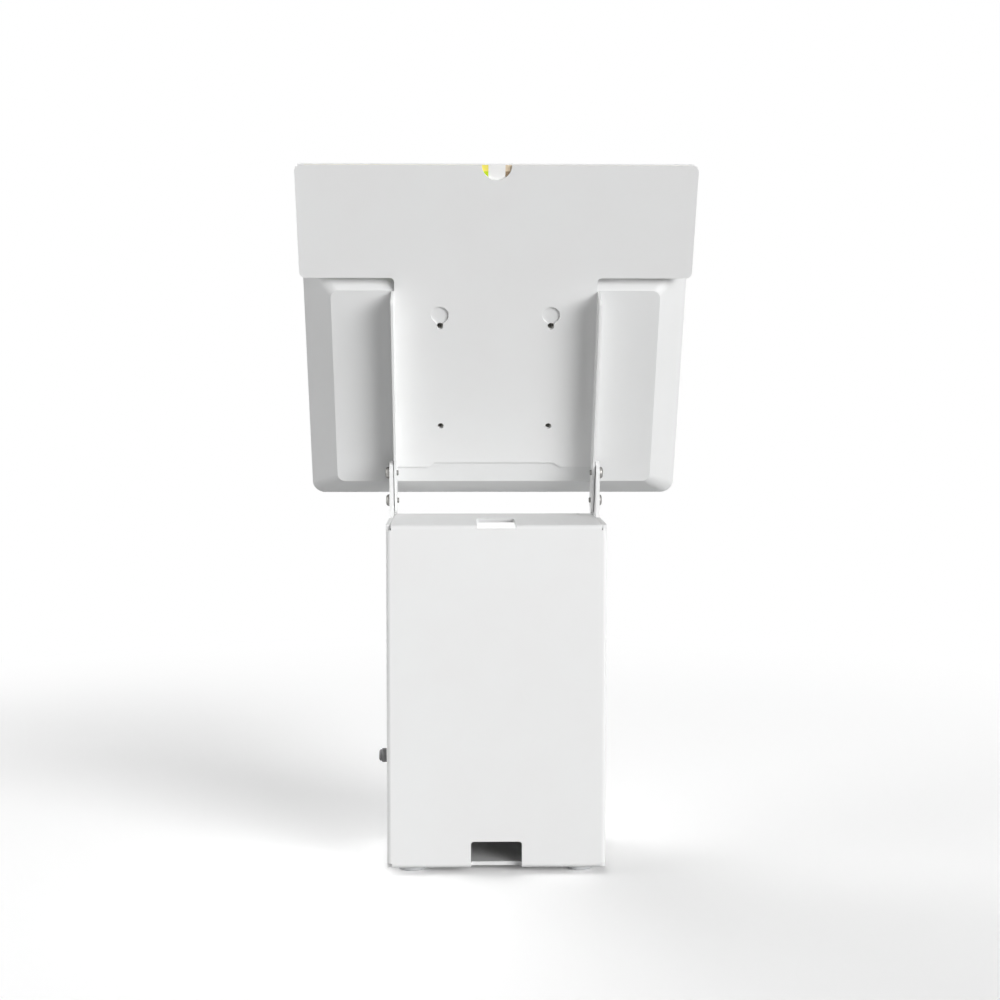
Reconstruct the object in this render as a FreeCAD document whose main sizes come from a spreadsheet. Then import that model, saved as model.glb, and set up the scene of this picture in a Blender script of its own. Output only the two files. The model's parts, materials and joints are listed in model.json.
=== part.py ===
import FreeCAD
import Part
import math
import os
import Sketcher
from FreeCAD import Vector

# A tablet holder: a folded sheet-metal base with a lockable front door, and a head that tilts
# between two ears of the base. X runs across, +Y points to the rear, +Z is up.
# The origin is on the table, in the middle of the base.

SIZES = [
    ("base_width", 146, "outside width of the folded base"),
    ("base_depth", 96, "outside depth of the base"),
    ("base_height", 230, "height of the base above its feet"),
    ("shell_sheet", 2.5, "thickness of the base's steel sheet"),
    ("shell_bend", 3, "outside radius of the base's folds"),
    ("seam_gap", 0.3, "open seam between the side walls and the top or floor"),
    ("corner_relief", 3.4, "square cut where three folds would meet"),
    ("foot_diameter", 19, "rubber foot"),
    ("foot_height", 4, "rubber foot"),
    ("foot_edge", 0.8, "bevel round the foot's lower edge"),
    ("foot_inset", 16.5, "centre of a foot from the base's side and end faces"),
    ("top_slot_width", 26, "cable slot in the top"),
    ("top_slot_length", 51, "cable slot in the top, from the rear face"),
    ("rear_slot_width", 34, "cable slot at the foot of the rear wall"),
    ("rear_slot_height", 18, "cable slot at the foot of the rear wall"),
    ("floor_slot_length", 7.5, "the same slot in the floor, from the rear face"),
    ("slot_corner", 2, "corner rounding of the cable slots"),
    ("jig_hole", 1.8, "two hanging holes in the top"),
    ("jig_hole_spacing", 82, "distance between the hanging holes"),
    ("jig_hole_inset", 10, "hanging holes from the rear face"),
    ("ear_depth", 33, "front to rear size of an ear"),
    ("ear_height", 38.5, "height of an ear above the base's top"),
    ("ear_round", 9, "rounding of the ear's rear top corner"),
    ("ear_nose_round", 5, "rounding of the ear's front top corner"),
    ("pivot_height", 10.2, "tilt axis above the base's top"),
    ("pivot_inset", 8.2, "tilt axis behind the base's front face"),
    ("head_tilt", 24.8, "lean of the head at rest, in degrees"),
    ("tilt_range", 6, "tilt to each side of rest, in degrees"),
    ("tilt_reach", 22, "distance between pivot screw and tilt screw"),
    ("housing_gap", 0.8, "ear's slope to the housing at the steepest tilt"),
    ("screw_shank", 4, "pivot and tilt screws"),
    ("pivot_play", 0.08, "radial play of the pivot screws in the ears"),
    ("slot_play", 0.15, "radial play of the tilt screws in the arc slots"),
    ("screw_head", 8.2, "head diameter of the pivot and tilt screws"),
    ("screw_dome", 2.4, "head height of the pivot and tilt screws"),
    ("screw_end", 1.2, "screw end proud of the flange"),
    ("washer_diameter", 9, "washers between ears and flanges"),
    ("tilt_washer", 0.6, "thickness of the washers between ears and flanges"),
    ("head_sheet", 1.5, "thickness of the head's steel sheet"),
    ("head_bend", 2, "outside radius of the head's folds"),
    ("flange_radius", 9.5, "round end of a flange about the tilt axis"),
    ("flange_top", 155, "upper end of the flanges above the tilt axis"),
    ("flange_corner", 3.5, "rounding of the flange's upper corner"),
    ("neck_inset", 1.95, "neck of the T inside the flanges' outer faces"),
    ("plate_bottom", 22.4, "lower edge of the back plate above the tilt axis"),
    ("plate_step", 3.5, "raised middle of the plate's lower edge"),
    ("step_width", 84, "width of the raised middle at its top"),
    ("step_slope", 4, "width of the slope at each end of the raised middle"),
    ("header_overhang", 0.5, "header beyond the housing, each side"),
    ("header_height", 77.4, "height of the header"),
    ("header_bottom", 164.6, "lower edge of the header above the tilt axis"),
    ("header_corner", 4, "outer corner rounding of the header"),
    ("shoulder_corner", 2.7, "inner corner rounding where neck meets header"),
    ("finger_notch", 19.6, "diameter of the finger notch in the header's top edge"),
    ("hole_pitch", 75, "mounting pattern, hole to hole both ways"),
    ("hole_bottom", 54.6, "lower mounting holes above the tilt axis"),
    ("hole_diameter", 4.3, "mounting holes and the narrow end of the keyholes"),
    ("keyhole_diameter", 12, "wide end of the keyholes"),
    ("keyhole_rise", 8.25, "wide end above the narrow end"),
    ("keyhole_blend", 1.5, "rounding where the wide end meets the narrow one"),
    ("tablet_width", 250.6, "tablet that fits the holder"),
    ("tablet_height", 174.1, "tablet that fits the holder"),
    ("tablet_thickness", 7.5, "tablet that fits the holder"),
    ("tablet_margin", 4.95, "tablet's edge to the housing's outside"),
    ("housing_bottom", -9.3, "lower edge of the housing above the tilt axis"),
    ("housing_wall", 2.5, "wall of the housing"),
    ("housing_chamfer", 19.6, "sloping sides of the housing, across and deep"),
    ("housing_rim", 8, "straight front rim of the housing"),
    ("housing_corner", 9, "corner rounding of the rim"),
    ("back_corner", 5.6, "corner rounding of the flat back"),
    ("insert_diameter", 6, "threaded inserts"),
    ("insert_bore", 3.4, "core of the inserts' thread"),
    ("insert_length", 8, "threaded inserts"),
    ("insert_sink", 1.5, "housing material behind the inserts, which go in from inside"),
    ("boss_wall", 2.2, "housing material round an insert"),
    ("post_diameter", 16, "posts that carry the tablet"),
    ("post_spacing_across", 176, "distance between the posts"),
    ("post_spacing_up", 100, "distance between the posts"),
    ("pad_thickness", 2, "foam pads on the posts"),
    ("pad_play", 0.2, "foam pad to the tablet's back"),
    ("bezel_sheet", 2.5, "front plate of the bezel"),
    ("window_width", 214, "window of the bezel"),
    ("window_height", 161, "window of the bezel"),
    ("window_corner", 4, "corner rounding of the window"),
    ("bezel_edge", 0.8, "bevel round the bezel's front edges"),
    ("skirt_depth", 6, "skirt of the bezel inside the rim"),
    ("skirt_wall", 1.4, "skirt of the bezel inside the rim"),
    ("skirt_play", 0.25, "skirt to the rim"),
    ("bezel_screw_shank", 3, "screws of the bezel"),
    ("bezel_screw_head", 5.6, "screws of the bezel"),
    ("bezel_screw_rise", 1.6, "head height of the bezel's screws"),
    ("bezel_screw_spacing", 190, "distance between the bezel's screws"),
    ("bezel_screw_play", 0.1, "play of the bezel's screws in the rim"),
    ("spacer_sheet", 1.3, "thickness of the header's spacer"),
    ("spacer_border", 6, "width of the spacer's strips"),
    ("cover_sheet", 1.5, "clear front of the header"),
    ("card_sheet", 0.7, "printed card"),
    ("card_play", 0.4, "card to the spacer's side strips"),
    ("door_sheet", 1.5, "front door"),
    ("door_gap", 1, "front door to the base, top, bottom and lock side"),
    ("hinge_gap", 1.5, "front door to the wall on the hinge side"),
    ("hinge_inset", 9, "door pin from the door's hinge edge"),
    ("hinge_setback", 4.5, "door pin behind the base's front face"),
    ("pin_diameter", 3, "door pins"),
    ("pin_play", 0.08, "radial play of the pins in the door"),
    ("tab_width", 16, "hinge tabs of the door"),
    ("tab_depth", 10, "hinge tabs of the door, front to rear"),
    ("pull_width", 40, "pull notch in the door's upper edge"),
    ("pull_depth", 16, "pull notch in the door's upper edge"),
    ("pull_corner", 5, "corner rounding of the pull notch"),
    ("door_washer", 7, "washers on the door pins"),
    ("stop_width", 14, "stop tabs folded up from floor and down from top"),
    ("stop_height", 12, "stop tabs folded up from floor and down from top"),
    ("stop_offset", 36, "centre of the stop tabs from the middle of the base"),
    ("bumper_diameter", 8, "rubber dots on the stop tabs"),
    ("bumper_height", 2, "rubber dots on the stop tabs"),
    ("bumper_play", 0.3, "rubber dots to the closed door"),
    ("lock_height", 61, "lock above the base's lower face"),
    ("lock_inset", 24, "lock behind the base's front face"),
    ("lock_collar", 10, "collar diameter of the lock"),
    ("lock_proud", 6.4, "collar proud of the side wall"),
    ("lock_barrel", 8, "threaded barrel of the lock"),
    ("lock_reach", 12, "barrel inside the side wall's inner face"),
    ("plug_diameter", 5.4, "turning plug of the lock"),
    ("plug_face", 8.2, "visible face of the plug"),
    ("plug_proud", 1.8, "face of the plug proud of the collar"),
    ("plug_play", 0.06, "radial play of the plug in the lock"),
    ("plug_axial_play", 0.1, "end play of the plug in the lock"),
    ("key_slot_width", 1, "key slot"),
    ("key_slot_length", 5, "key slot"),
    ("key_slot_depth", 1.2, "key slot"),
    ("nut_across", 11, "lock nut, across its flats"),
    ("nut_height", 2.5, "lock nut"),
    ("cam_sheet", 1.6, "cam"),
    ("cam_width", 9, "cam"),
    ("cam_length", 17, "cam, from the lock's axis to its tip"),
    ("cam_screw_shank", 2.5, "screw of the cam"),
    ("cam_screw_depth", 6, "screw of the cam, inside the plug"),
    ("cam_screw_head", 5, "screw of the cam"),
    ("cam_screw_rise", 1.6, "screw of the cam"),
    ("latch_play", 0.5, "latch tab's lip to the cam when locked"),
    ("latch_clear", 3.5, "latch tab above the cam when unlocked"),
    ("latch_height", 10, "latch tab"),
    ("latch_inset", 3.4, "latch tab inside the side wall's inner face"),
    ("latch_overlap", 2, "lip past the cam's far face"),
]

DOCUMENT = FreeCAD.newDocument("tablet_holder")
SHEET = DOCUMENT.addObject("Spreadsheet::Sheet", "Dim")
for row, (alias, size, note) in enumerate(SIZES, start=2):
    SHEET.set(f"A{row}", alias)
    SHEET.set(f"B{row}", str(size))
    SHEET.set(f"C{row}", note)
    SHEET.setAlias(f"B{row}", alias)
DOCUMENT.recompute()

# Places that several pieces share, as expressions of the sheet's cells.
SIDE = "Dim.base_width / 2"
INNER_SIDE = f"({SIDE} - Dim.shell_sheet)"
REAR = "Dim.base_depth / 2"
FRONT = "(-Dim.base_depth / 2)"
CEILING = "(Dim.base_height - Dim.shell_sheet)"
PIVOT_Y = f"({FRONT} + Dim.pivot_inset)"
PIVOT_Z = "(Dim.base_height + Dim.pivot_height)"
FLANGE_OUT = f"({INNER_SIDE} - Dim.tilt_washer)"
FLANGE_IN = f"({FLANGE_OUT} - Dim.head_sheet)"
PLATE_FRONT = "(-Dim.flange_radius)"
PLATE_REAR = "(Dim.head_sheet - Dim.flange_radius)"
HEADER_TOP = "(Dim.header_bottom + Dim.header_height)"
HOLE_TOP = "(Dim.hole_bottom + Dim.hole_pitch)"
HOUSING_SIDE = "(Dim.tablet_width / 2 + Dim.tablet_margin)"
HEADER_SIDE = f"({HOUSING_SIDE} + Dim.header_overhang)"
HOUSING_TOP = "(Dim.housing_bottom + Dim.tablet_height + 2 * Dim.tablet_margin)"
HOUSING_MIDDLE = "(Dim.housing_bottom + Dim.tablet_height / 2 + Dim.tablet_margin)"
HOUSING_DEPTH = "(Dim.housing_chamfer + Dim.housing_rim)"
RIM_FRONT = f"({PLATE_FRONT} - {HOUSING_DEPTH})"
TABLET_BACK = f"({RIM_FRONT} + Dim.tablet_thickness)"
HINGE_X = f"(Dim.hinge_gap + Dim.hinge_inset - {INNER_SIDE})"
HINGE_Y = f"({FRONT} + Dim.hinge_setback)"
DOOR_BACK = f"({FRONT} + Dim.door_sheet)"
DOOR_BOTTOM = "(Dim.shell_sheet + Dim.door_gap)"
DOOR_TOP = f"({CEILING} - Dim.door_gap)"
LOCK_Y = f"({FRONT} + Dim.lock_inset)"
BARREL_END = f"({INNER_SIDE} - Dim.lock_reach)"
CAM_OUTER = f"({BARREL_END} - Dim.plug_axial_play)"
CAM_INNER = f"({CAM_OUTER} - Dim.cam_sheet)"


def number(expression):
    """The value that an expression of the sheet's cells has now."""
    return float(SHEET.evalExpression(expression))


def bind(target, path, expression):
    target.setExpression(path, expression)


def new_body(name):
    """An empty body that stands on the feet's height."""
    body = DOCUMENT.addObject("PartDesign::Body", name)
    body.Label = name
    bind(body, "Placement.Base.z", "Dim.foot_height")
    return body


def new_head_body(name):
    """An empty body whose origin is the tilt axis and whose z runs up the leaning head."""
    body = DOCUMENT.addObject("PartDesign::Body", name)
    body.Label = name
    body.Placement = FreeCAD.Placement(Vector(0, 0, 0), FreeCAD.Rotation(Vector(-1, 0, 0), 10))
    bind(body, "Placement.Rotation.Angle", "Dim.head_tilt")
    bind(body, "Placement.Base.y", PIVOT_Y)
    bind(body, "Placement.Base.z", f"Dim.foot_height + {PIVOT_Z}")
    return body


def origin_part(body, role):
    return next(part for part in body.Origin.OriginFeatures if part.Role == role)


def new_sketch(body, name, plane, height="0"):
    """A sketch parallel to an origin plane, at a height along that plane's normal.

    The plane XY has its normal along +Z, YZ along +X and XZ along -Y.
    """
    sketch = body.newObject("Sketcher::SketchObject", f"{body.Name}_{name}")
    sketch.AttachmentSupport = (origin_part(body, f"{plane}_Plane"), "")
    sketch.MapMode = "FlatFace"
    bind(sketch, "AttachmentOffset.Base.z", height)
    return sketch


def constrain(sketch, kind, *arguments):
    """Adds a constraint whose last argument is the expression of its value."""
    *places, expression = arguments
    index = sketch.addConstraint(Sketcher.Constraint(kind, *places, number(expression)))
    bind(sketch, f"Constraints[{index}]", expression)


def place(sketch, geometry, vertex, x, y):
    constrain(sketch, "DistanceX", geometry, vertex, x)
    constrain(sketch, "DistanceY", geometry, vertex, y)


def draw_polygon(sketch, corners):
    """A closed outline of straight lines through corners given as pairs of expressions."""
    points = [Vector(number(x), number(y), 0) for x, y in corners]
    first = sketch.GeometryCount
    count = len(points)
    for index, point in enumerate(points):
        sketch.addGeometry(Part.LineSegment(point, points[(index + 1) % count]), False)
    for index, (x, y) in enumerate(corners):
        line = first + index
        following = first + (index + 1) % count
        sketch.addConstraint(Sketcher.Constraint("Coincident", line, 2, following, 1))
        place(sketch, line, 1, x, y)


def draw_rectangle(sketch, left, right, low, high):
    draw_polygon(sketch, [(left, low), (right, low), (right, high), (left, high)])


def draw_circle(sketch, x, y, diameter):
    centre = Vector(number(x), number(y), 0)
    geometry = Part.Circle(centre, Vector(0, 0, 1), number(diameter) / 2)
    index = sketch.addGeometry(geometry, False)
    place(sketch, index, 3, x, y)
    constrain(sketch, "Diameter", index, diameter)


def draw_rounded_rectangle(sketch, left, right, low, high, radius):
    """A rectangle whose four corners are tangent arcs."""
    x0, x1, y0, y1 = number(left), number(right), number(low), number(high)
    r = number(radius)
    first = sketch.GeometryCount
    sides = [
        (Vector(x0 + r, y0, 0), Vector(x1 - r, y0, 0)),
        (Vector(x1, y0 + r, 0), Vector(x1, y1 - r, 0)),
        (Vector(x1 - r, y1, 0), Vector(x0 + r, y1, 0)),
        (Vector(x0, y1 - r, 0), Vector(x0, y0 + r, 0)),
    ]
    centres = [
        Vector(x1 - r, y0 + r, 0),
        Vector(x1 - r, y1 - r, 0),
        Vector(x0 + r, y1 - r, 0),
        Vector(x0 + r, y0 + r, 0),
    ]
    for index, (start, end) in enumerate(sides):
        sketch.addGeometry(Part.LineSegment(start, end), False)
        circle = Part.Circle(centres[index], Vector(0, 0, 1), r)
        turn = (index - 1) * math.pi / 2
        sketch.addGeometry(Part.ArcOfCircle(circle, turn, turn + math.pi / 2), False)
    for index in range(4):
        line = first + 2 * index
        arc = line + 1
        following = first + (2 * index + 2) % 8
        sketch.addConstraint(Sketcher.Constraint("Tangent", line, 2, arc, 1))
        sketch.addConstraint(Sketcher.Constraint("Tangent", arc, 2, following, 1))
        sketch.addConstraint(Sketcher.Constraint("Horizontal" if index % 2 == 0 else "Vertical", line))
        if index:
            sketch.addConstraint(Sketcher.Constraint("Equal", first + 1, arc))
    constrain(sketch, "Radius", first + 1, radius)
    constrain(sketch, "DistanceY", first, 1, low)
    constrain(sketch, "DistanceX", first + 2, 1, right)
    constrain(sketch, "DistanceY", first + 4, 1, high)
    constrain(sketch, "DistanceX", first + 6, 1, left)


def draw_arc_slot(sketch, centre, reach, start, finish, width):
    """A slot that follows an arc, its angles counted in degrees from the vertical."""
    cx, cy = number(centre[0]), number(centre[1])
    half = number(width) / 2
    low, high = math.radians(number(start)), math.radians(number(finish))
    far = number(reach)
    axis = Vector(0, 0, 1)
    hub = Vector(cx, cy, 0)
    ends = [Vector(cx + far * math.sin(a), cy + far * math.cos(a), 0) for a in (low, high)]
    quarter = math.pi / 2
    outer = sketch.addGeometry(
        Part.ArcOfCircle(Part.Circle(hub, axis, far + half), quarter - high, quarter - low), False)
    inner = sketch.addGeometry(
        Part.ArcOfCircle(Part.Circle(hub, axis, far - half), quarter - high, quarter - low), False)
    near = sketch.addGeometry(
        Part.ArcOfCircle(Part.Circle(ends[0], axis, half), quarter - low, 3 * quarter - low), False)
    last = sketch.addGeometry(
        Part.ArcOfCircle(Part.Circle(ends[1], axis, half), -quarter - high, quarter - high), False)
    for first, first_end, second, second_end in (
            (outer, 2, near, 1), (near, 2, inner, 2), (inner, 1, last, 1), (last, 2, outer, 1)):
        sketch.addConstraint(Sketcher.Constraint("Tangent", first, first_end, second, second_end))
    sketch.addConstraint(Sketcher.Constraint("Coincident", outer, 3, inner, 3))
    place(sketch, outer, 3, *centre)
    place(sketch, near, 3, f"{centre[0]} + {reach} * sin({start})", f"{centre[1]} + {reach} * cos({start})")
    constrain(sketch, "Radius", near, f"{width} / 2")
    constrain(sketch, "DistanceX", last, 3, f"{centre[0]} + {reach} * sin({finish})")


def add_pad(body, sketch, length, reverse=False):
    """Material from the sketch, along its plane's normal unless reversed."""
    feature = body.newObject("PartDesign::Pad", f"{sketch.Name}_pad")
    feature.Profile = sketch
    feature.Reversed = reverse
    bind(feature, "Length", length)
    DOCUMENT.recompute()
    return feature


def expect_less(body, before, name):
    """Stops the build where a cut has taken nothing away."""
    if body.Shape.Volume >= before:
        raise RuntimeError(f"{name} removes nothing")


def cut(body, sketch, length, reverse=False):
    """A pocket against the plane's normal, or along it when reversed."""
    before = body.Shape.Volume
    feature = body.newObject("PartDesign::Pocket", f"{sketch.Name}_cut")
    feature.Profile = sketch
    feature.Reversed = reverse
    bind(feature, "Length", length)
    DOCUMENT.recompute()
    expect_less(body, before, feature.Name)
    return feature


def cut_through(body, sketch):
    """A pocket through everything, to both sides of the sketch."""
    before = body.Shape.Volume
    feature = body.newObject("PartDesign::Pocket", f"{sketch.Name}_cut")
    feature.Profile = sketch
    feature.SideType = "Symmetric"
    feature.Type = "ThroughAll"
    DOCUMENT.recompute()
    expect_less(body, before, feature.Name)
    return feature


def revolve(body, sketch, axis="H_Axis"):
    """A full turn of the sketch about one of its own axes."""
    feature = body.newObject("PartDesign::Revolution", f"{sketch.Name}_turn")
    feature.Profile = sketch
    feature.ReferenceAxis = (sketch, [axis])
    feature.Angle = 360
    DOCUMENT.recompute()
    return feature


def mirror(body, features, plane="YZ"):
    """The same features again on the other side of an origin plane."""
    feature = body.newObject("PartDesign::Mirrored", f"{features[0].Name}_mirror")
    feature.Originals = features
    feature.MirrorPlane = (origin_part(body, f"{plane}_Plane"), [""])
    body.Tip = feature
    DOCUMENT.recompute()
    return feature


def dress_edges(body, kind, name, size, wanted):
    """Rounds or bevels the edges whose middle and direction the test wants."""
    base = body.Tip
    names = []
    for index, edge in enumerate(base.Shape.Edges, start=1):
        if wanted(edge.CenterOfMass, edge):
            names.append(f"Edge{index}")
    if not names:
        raise RuntimeError(f"{name} finds no edge")
    feature = body.newObject(f"PartDesign::{kind}", f"{body.Name}_{name}")
    feature.Base = (base, names)
    bind(feature, "Radius" if kind == "Fillet" else "Size", size)
    DOCUMENT.recompute()
    if feature.Shape.isNull() or near(feature.Shape.Volume, base.Shape.Volume):
        raise RuntimeError(f"{feature.Name} changes nothing")
    return feature


def round_edges(body, name, radius, wanted):
    return dress_edges(body, "Fillet", name, radius, wanted)


def bevel_edges(body, name, size, wanted):
    return dress_edges(body, "Chamfer", name, size, wanted)


def near(a, b):
    return abs(a - b) < 1e-4


def runs_along(edge, axis):
    """Whether a straight edge lies along x, y or z."""
    if len(edge.Vertexes) != 2 or edge.Curve.TypeId != "Part::GeomLine":
        return False
    step = edge.Vertexes[1].Point - edge.Vertexes[0].Point
    return abs(getattr(step, axis)) > 0.999 * step.Length


def make_base_shell():
    """One folded sheet: rear wall, side walls with ears, top and floor."""
    body = new_body("base_shell")
    side, rear, front = number(SIDE), number(REAR), number(FRONT)
    inner_side, height = number(INNER_SIDE), number("Dim.base_height")

    walls = new_sketch(body, "walls", "XY")
    inner_rear = f"({REAR} - Dim.shell_sheet)"
    draw_polygon(walls, [
        (f"-{SIDE}", FRONT), (f"-{INNER_SIDE}", FRONT), (f"-{INNER_SIDE}", inner_rear),
        (INNER_SIDE, inner_rear), (INNER_SIDE, FRONT), (SIDE, FRONT), (SIDE, REAR), (f"-{SIDE}", REAR)])
    add_pad(body, walls, "Dim.base_height")
    round_edges(body, "wall_bends", "Dim.shell_bend", lambda middle, edge: (
        runs_along(edge, "z") and near(abs(middle.x), side) and near(middle.y, rear)))
    round_edges(body, "inner_bends", "Dim.shell_bend - Dim.shell_sheet", lambda middle, edge: (
        runs_along(edge, "z") and near(abs(middle.x), inner_side) and middle.y > 0))

    lid_side = f"({INNER_SIDE} - Dim.seam_gap)"
    for name, level in (("floor", "0"), ("top", CEILING)):
        panel = new_sketch(body, name, "XY", level)
        draw_rectangle(panel, f"-{lid_side}", lid_side, FRONT, f"{inner_rear} + Dim.shell_sheet / 2")
        add_pad(body, panel, "Dim.shell_sheet")

    ear = new_sketch(body, "ear", "YZ", INNER_SIDE)
    steepest = "(Dim.head_tilt + Dim.tilt_range)"
    slope = "(Dim.flange_radius - Dim.housing_gap)"
    nose_rise = f"(({slope} - Dim.pivot_inset * cos({steepest})) / sin({steepest}))"
    crown = "(Dim.ear_height - Dim.pivot_height)"
    crown_front = f"(({crown} * sin({steepest}) - {slope}) / cos({steepest}))"
    draw_polygon(ear, [
        (FRONT, CEILING), (f"{FRONT} + Dim.ear_depth", CEILING),
        (f"{FRONT} + Dim.ear_depth", "Dim.base_height + Dim.ear_height"),
        (f"{PIVOT_Y} + {crown_front}", "Dim.base_height + Dim.ear_height"),
        (FRONT, f"{PIVOT_Z} + {nose_rise}")])
    mirror(body, [add_pad(body, ear, "Dim.shell_sheet")])
    crown_z = number("Dim.base_height + Dim.ear_height")
    ear_rear = number(f"{FRONT} + Dim.ear_depth")
    round_edges(body, "ear_round", "Dim.ear_round", lambda middle, edge: (
        runs_along(edge, "x") and near(middle.z, crown_z) and near(middle.y, ear_rear)))
    round_edges(body, "ear_nose", "Dim.ear_nose_round", lambda middle, edge: (
        runs_along(edge, "x") and near(middle.z, crown_z) and middle.y < ear_rear))

    pivot_holes = new_sketch(body, "pivot_holes", "YZ")
    draw_circle(pivot_holes, PIVOT_Y, PIVOT_Z, "Dim.screw_shank + 2 * Dim.pivot_play")
    cut_through(body, pivot_holes)
    tilt_slots = new_sketch(body, "tilt_slots", "YZ")
    draw_arc_slot(tilt_slots, (PIVOT_Y, PIVOT_Z), "Dim.tilt_reach", "(Dim.head_tilt - Dim.tilt_range)",
                  steepest, "(Dim.screw_shank + 2 * Dim.slot_play)")
    cut_through(body, tilt_slots)

    for name, level, reverse in (("floor_reliefs", "0", True), ("top_reliefs", "Dim.base_height", False)):
        reliefs = new_sketch(body, name, "XY", level)
        relief_rear = f"{REAR} + Dim.corner_relief"
        for sign in ("-", ""):
            edges = [f"{sign}({SIDE} - Dim.corner_relief)", f"{sign}({SIDE} + Dim.corner_relief)"]
            draw_rectangle(reliefs, *edges, f"{REAR} - Dim.corner_relief", relief_rear)
        cut(body, reliefs, "Dim.corner_relief", reverse)
    round_edges(body, "panel_bends", "Dim.shell_bend", lambda middle, edge: (
        runs_along(edge, "x") and near(middle.y, rear) and near(middle.x, 0)
        and (near(middle.z, 0) or near(middle.z, height))))

    top_slot = new_sketch(body, "top_slot", "XY", "Dim.base_height")
    slot_side = "Dim.top_slot_width / 2"
    slot_end = f"({REAR} - Dim.top_slot_length)"
    draw_rectangle(top_slot, f"-{slot_side}", slot_side, slot_end, f"{REAR} + Dim.shell_sheet")
    cut(body, top_slot, "Dim.shell_sheet")
    rear_slot = new_sketch(body, "rear_slot", "XZ", f"-{REAR}")
    rear_side = "Dim.rear_slot_width / 2"
    draw_rectangle(rear_slot, f"-{rear_side}", rear_side, "-Dim.shell_sheet", "Dim.rear_slot_height")
    cut(body, rear_slot, "Dim.shell_sheet", reverse=True)
    floor_slot = new_sketch(body, "floor_slot", "XY")
    draw_rectangle(floor_slot, f"-{rear_side}", rear_side, f"{REAR} - Dim.floor_slot_length",
                   f"{REAR} + Dim.shell_sheet")
    cut(body, floor_slot, "Dim.shell_sheet", reverse=True)
    slot_edges = [
        ("z", number(slot_side), number(slot_end), number(f"{CEILING} + Dim.shell_sheet / 2")),
        ("z", number(rear_side), number(f"{REAR} - Dim.floor_slot_length"), number("Dim.shell_sheet / 2")),
        ("y", number(rear_side), number(f"{REAR} - Dim.shell_sheet / 2"), number("Dim.rear_slot_height")),
    ]
    round_edges(body, "slot_corners", "Dim.slot_corner", lambda middle, edge: any(
        runs_along(edge, axis) and near(abs(middle.x), x) and near(middle.y, y) and near(middle.z, z)
        for axis, x, y, z in slot_edges))

    holes = new_sketch(body, "jig_holes", "XY", "Dim.base_height")
    for sign in ("-", ""):
        draw_circle(holes, f"{sign}Dim.jig_hole_spacing / 2", f"{REAR} - Dim.jig_hole_inset", "Dim.jig_hole")
    cut(body, holes, "Dim.shell_sheet")
    lock_hole = new_sketch(body, "lock_hole", "YZ", SIDE)
    draw_circle(lock_hole, LOCK_Y, "Dim.lock_height", "Dim.lock_barrel")
    cut(body, lock_hole, "Dim.shell_sheet")
    pin_holes = new_sketch(body, "pin_holes", "XY")
    draw_circle(pin_holes, HINGE_X, HINGE_Y, "Dim.pin_diameter")
    cut_through(body, pin_holes)

    stops = new_sketch(body, "stops", "XZ", f"-({DOOR_BACK} + Dim.bumper_play + Dim.bumper_height)")
    stop_left = "(Dim.stop_offset - Dim.stop_width / 2)"
    stop_right = "(Dim.stop_offset + Dim.stop_width / 2)"
    draw_rectangle(stops, stop_left, stop_right, "Dim.shell_sheet / 2", "Dim.shell_sheet + Dim.stop_height")
    draw_rectangle(stops, stop_left, stop_right, f"{CEILING} - Dim.stop_height",
                   f"{CEILING} + Dim.shell_sheet / 2")
    add_pad(body, stops, "Dim.shell_sheet", reverse=True)
    return body


def make_rubber_feet():
    body = new_body("rubber_feet")
    bind(body, "Placement.Base.z", "0")
    feet = new_sketch(body, "rounds", "XY")
    for x_sign in ("-", ""):
        for y_sign in ("-", ""):
            draw_circle(feet, f"{x_sign}({SIDE} - Dim.foot_inset)", f"{y_sign}({REAR} - Dim.foot_inset)",
                        "Dim.foot_diameter")
    add_pad(body, feet, "Dim.foot_height")
    bevel_edges(body, "edge", "Dim.foot_edge", lambda middle, edge: near(middle.z, 0))
    return body


def new_lock_body(name):
    """An empty body whose x runs along the lock's axis, from the middle of the base."""
    body = new_body(name)
    bind(body, "Placement.Base.y", LOCK_Y)
    bind(body, "Placement.Base.z", "Dim.foot_height + Dim.lock_height")
    return body


def make_lock_body():
    """Collar and barrel of the cam lock, bored for its plug."""
    body = new_lock_body("lock_body")
    profile = new_sketch(body, "profile", "XY")
    bore = "(Dim.plug_diameter / 2 + Dim.plug_play)"
    draw_polygon(profile, [
        (BARREL_END, bore), (f"{SIDE} + Dim.lock_proud", bore),
        (f"{SIDE} + Dim.lock_proud", "Dim.lock_collar / 2"), (SIDE, "Dim.lock_collar / 2"),
        (SIDE, "Dim.lock_barrel / 2"), (BARREL_END, "Dim.lock_barrel / 2")])
    revolve(body, profile)
    return body


def make_lock_nut():
    body = new_lock_body("lock_nut")
    outline = new_sketch(body, "hexagon", "YZ", INNER_SIDE)
    corner = "(Dim.nut_across / 2 / cos(30))"
    draw_polygon(outline, [(f"{corner} * cos({turn})", f"{corner} * sin({turn})")
                           for turn in range(0, 360, 60)])
    draw_circle(outline, "0", "0", "Dim.lock_barrel")
    add_pad(body, outline, "Dim.nut_height", reverse=True)
    return body


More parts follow.
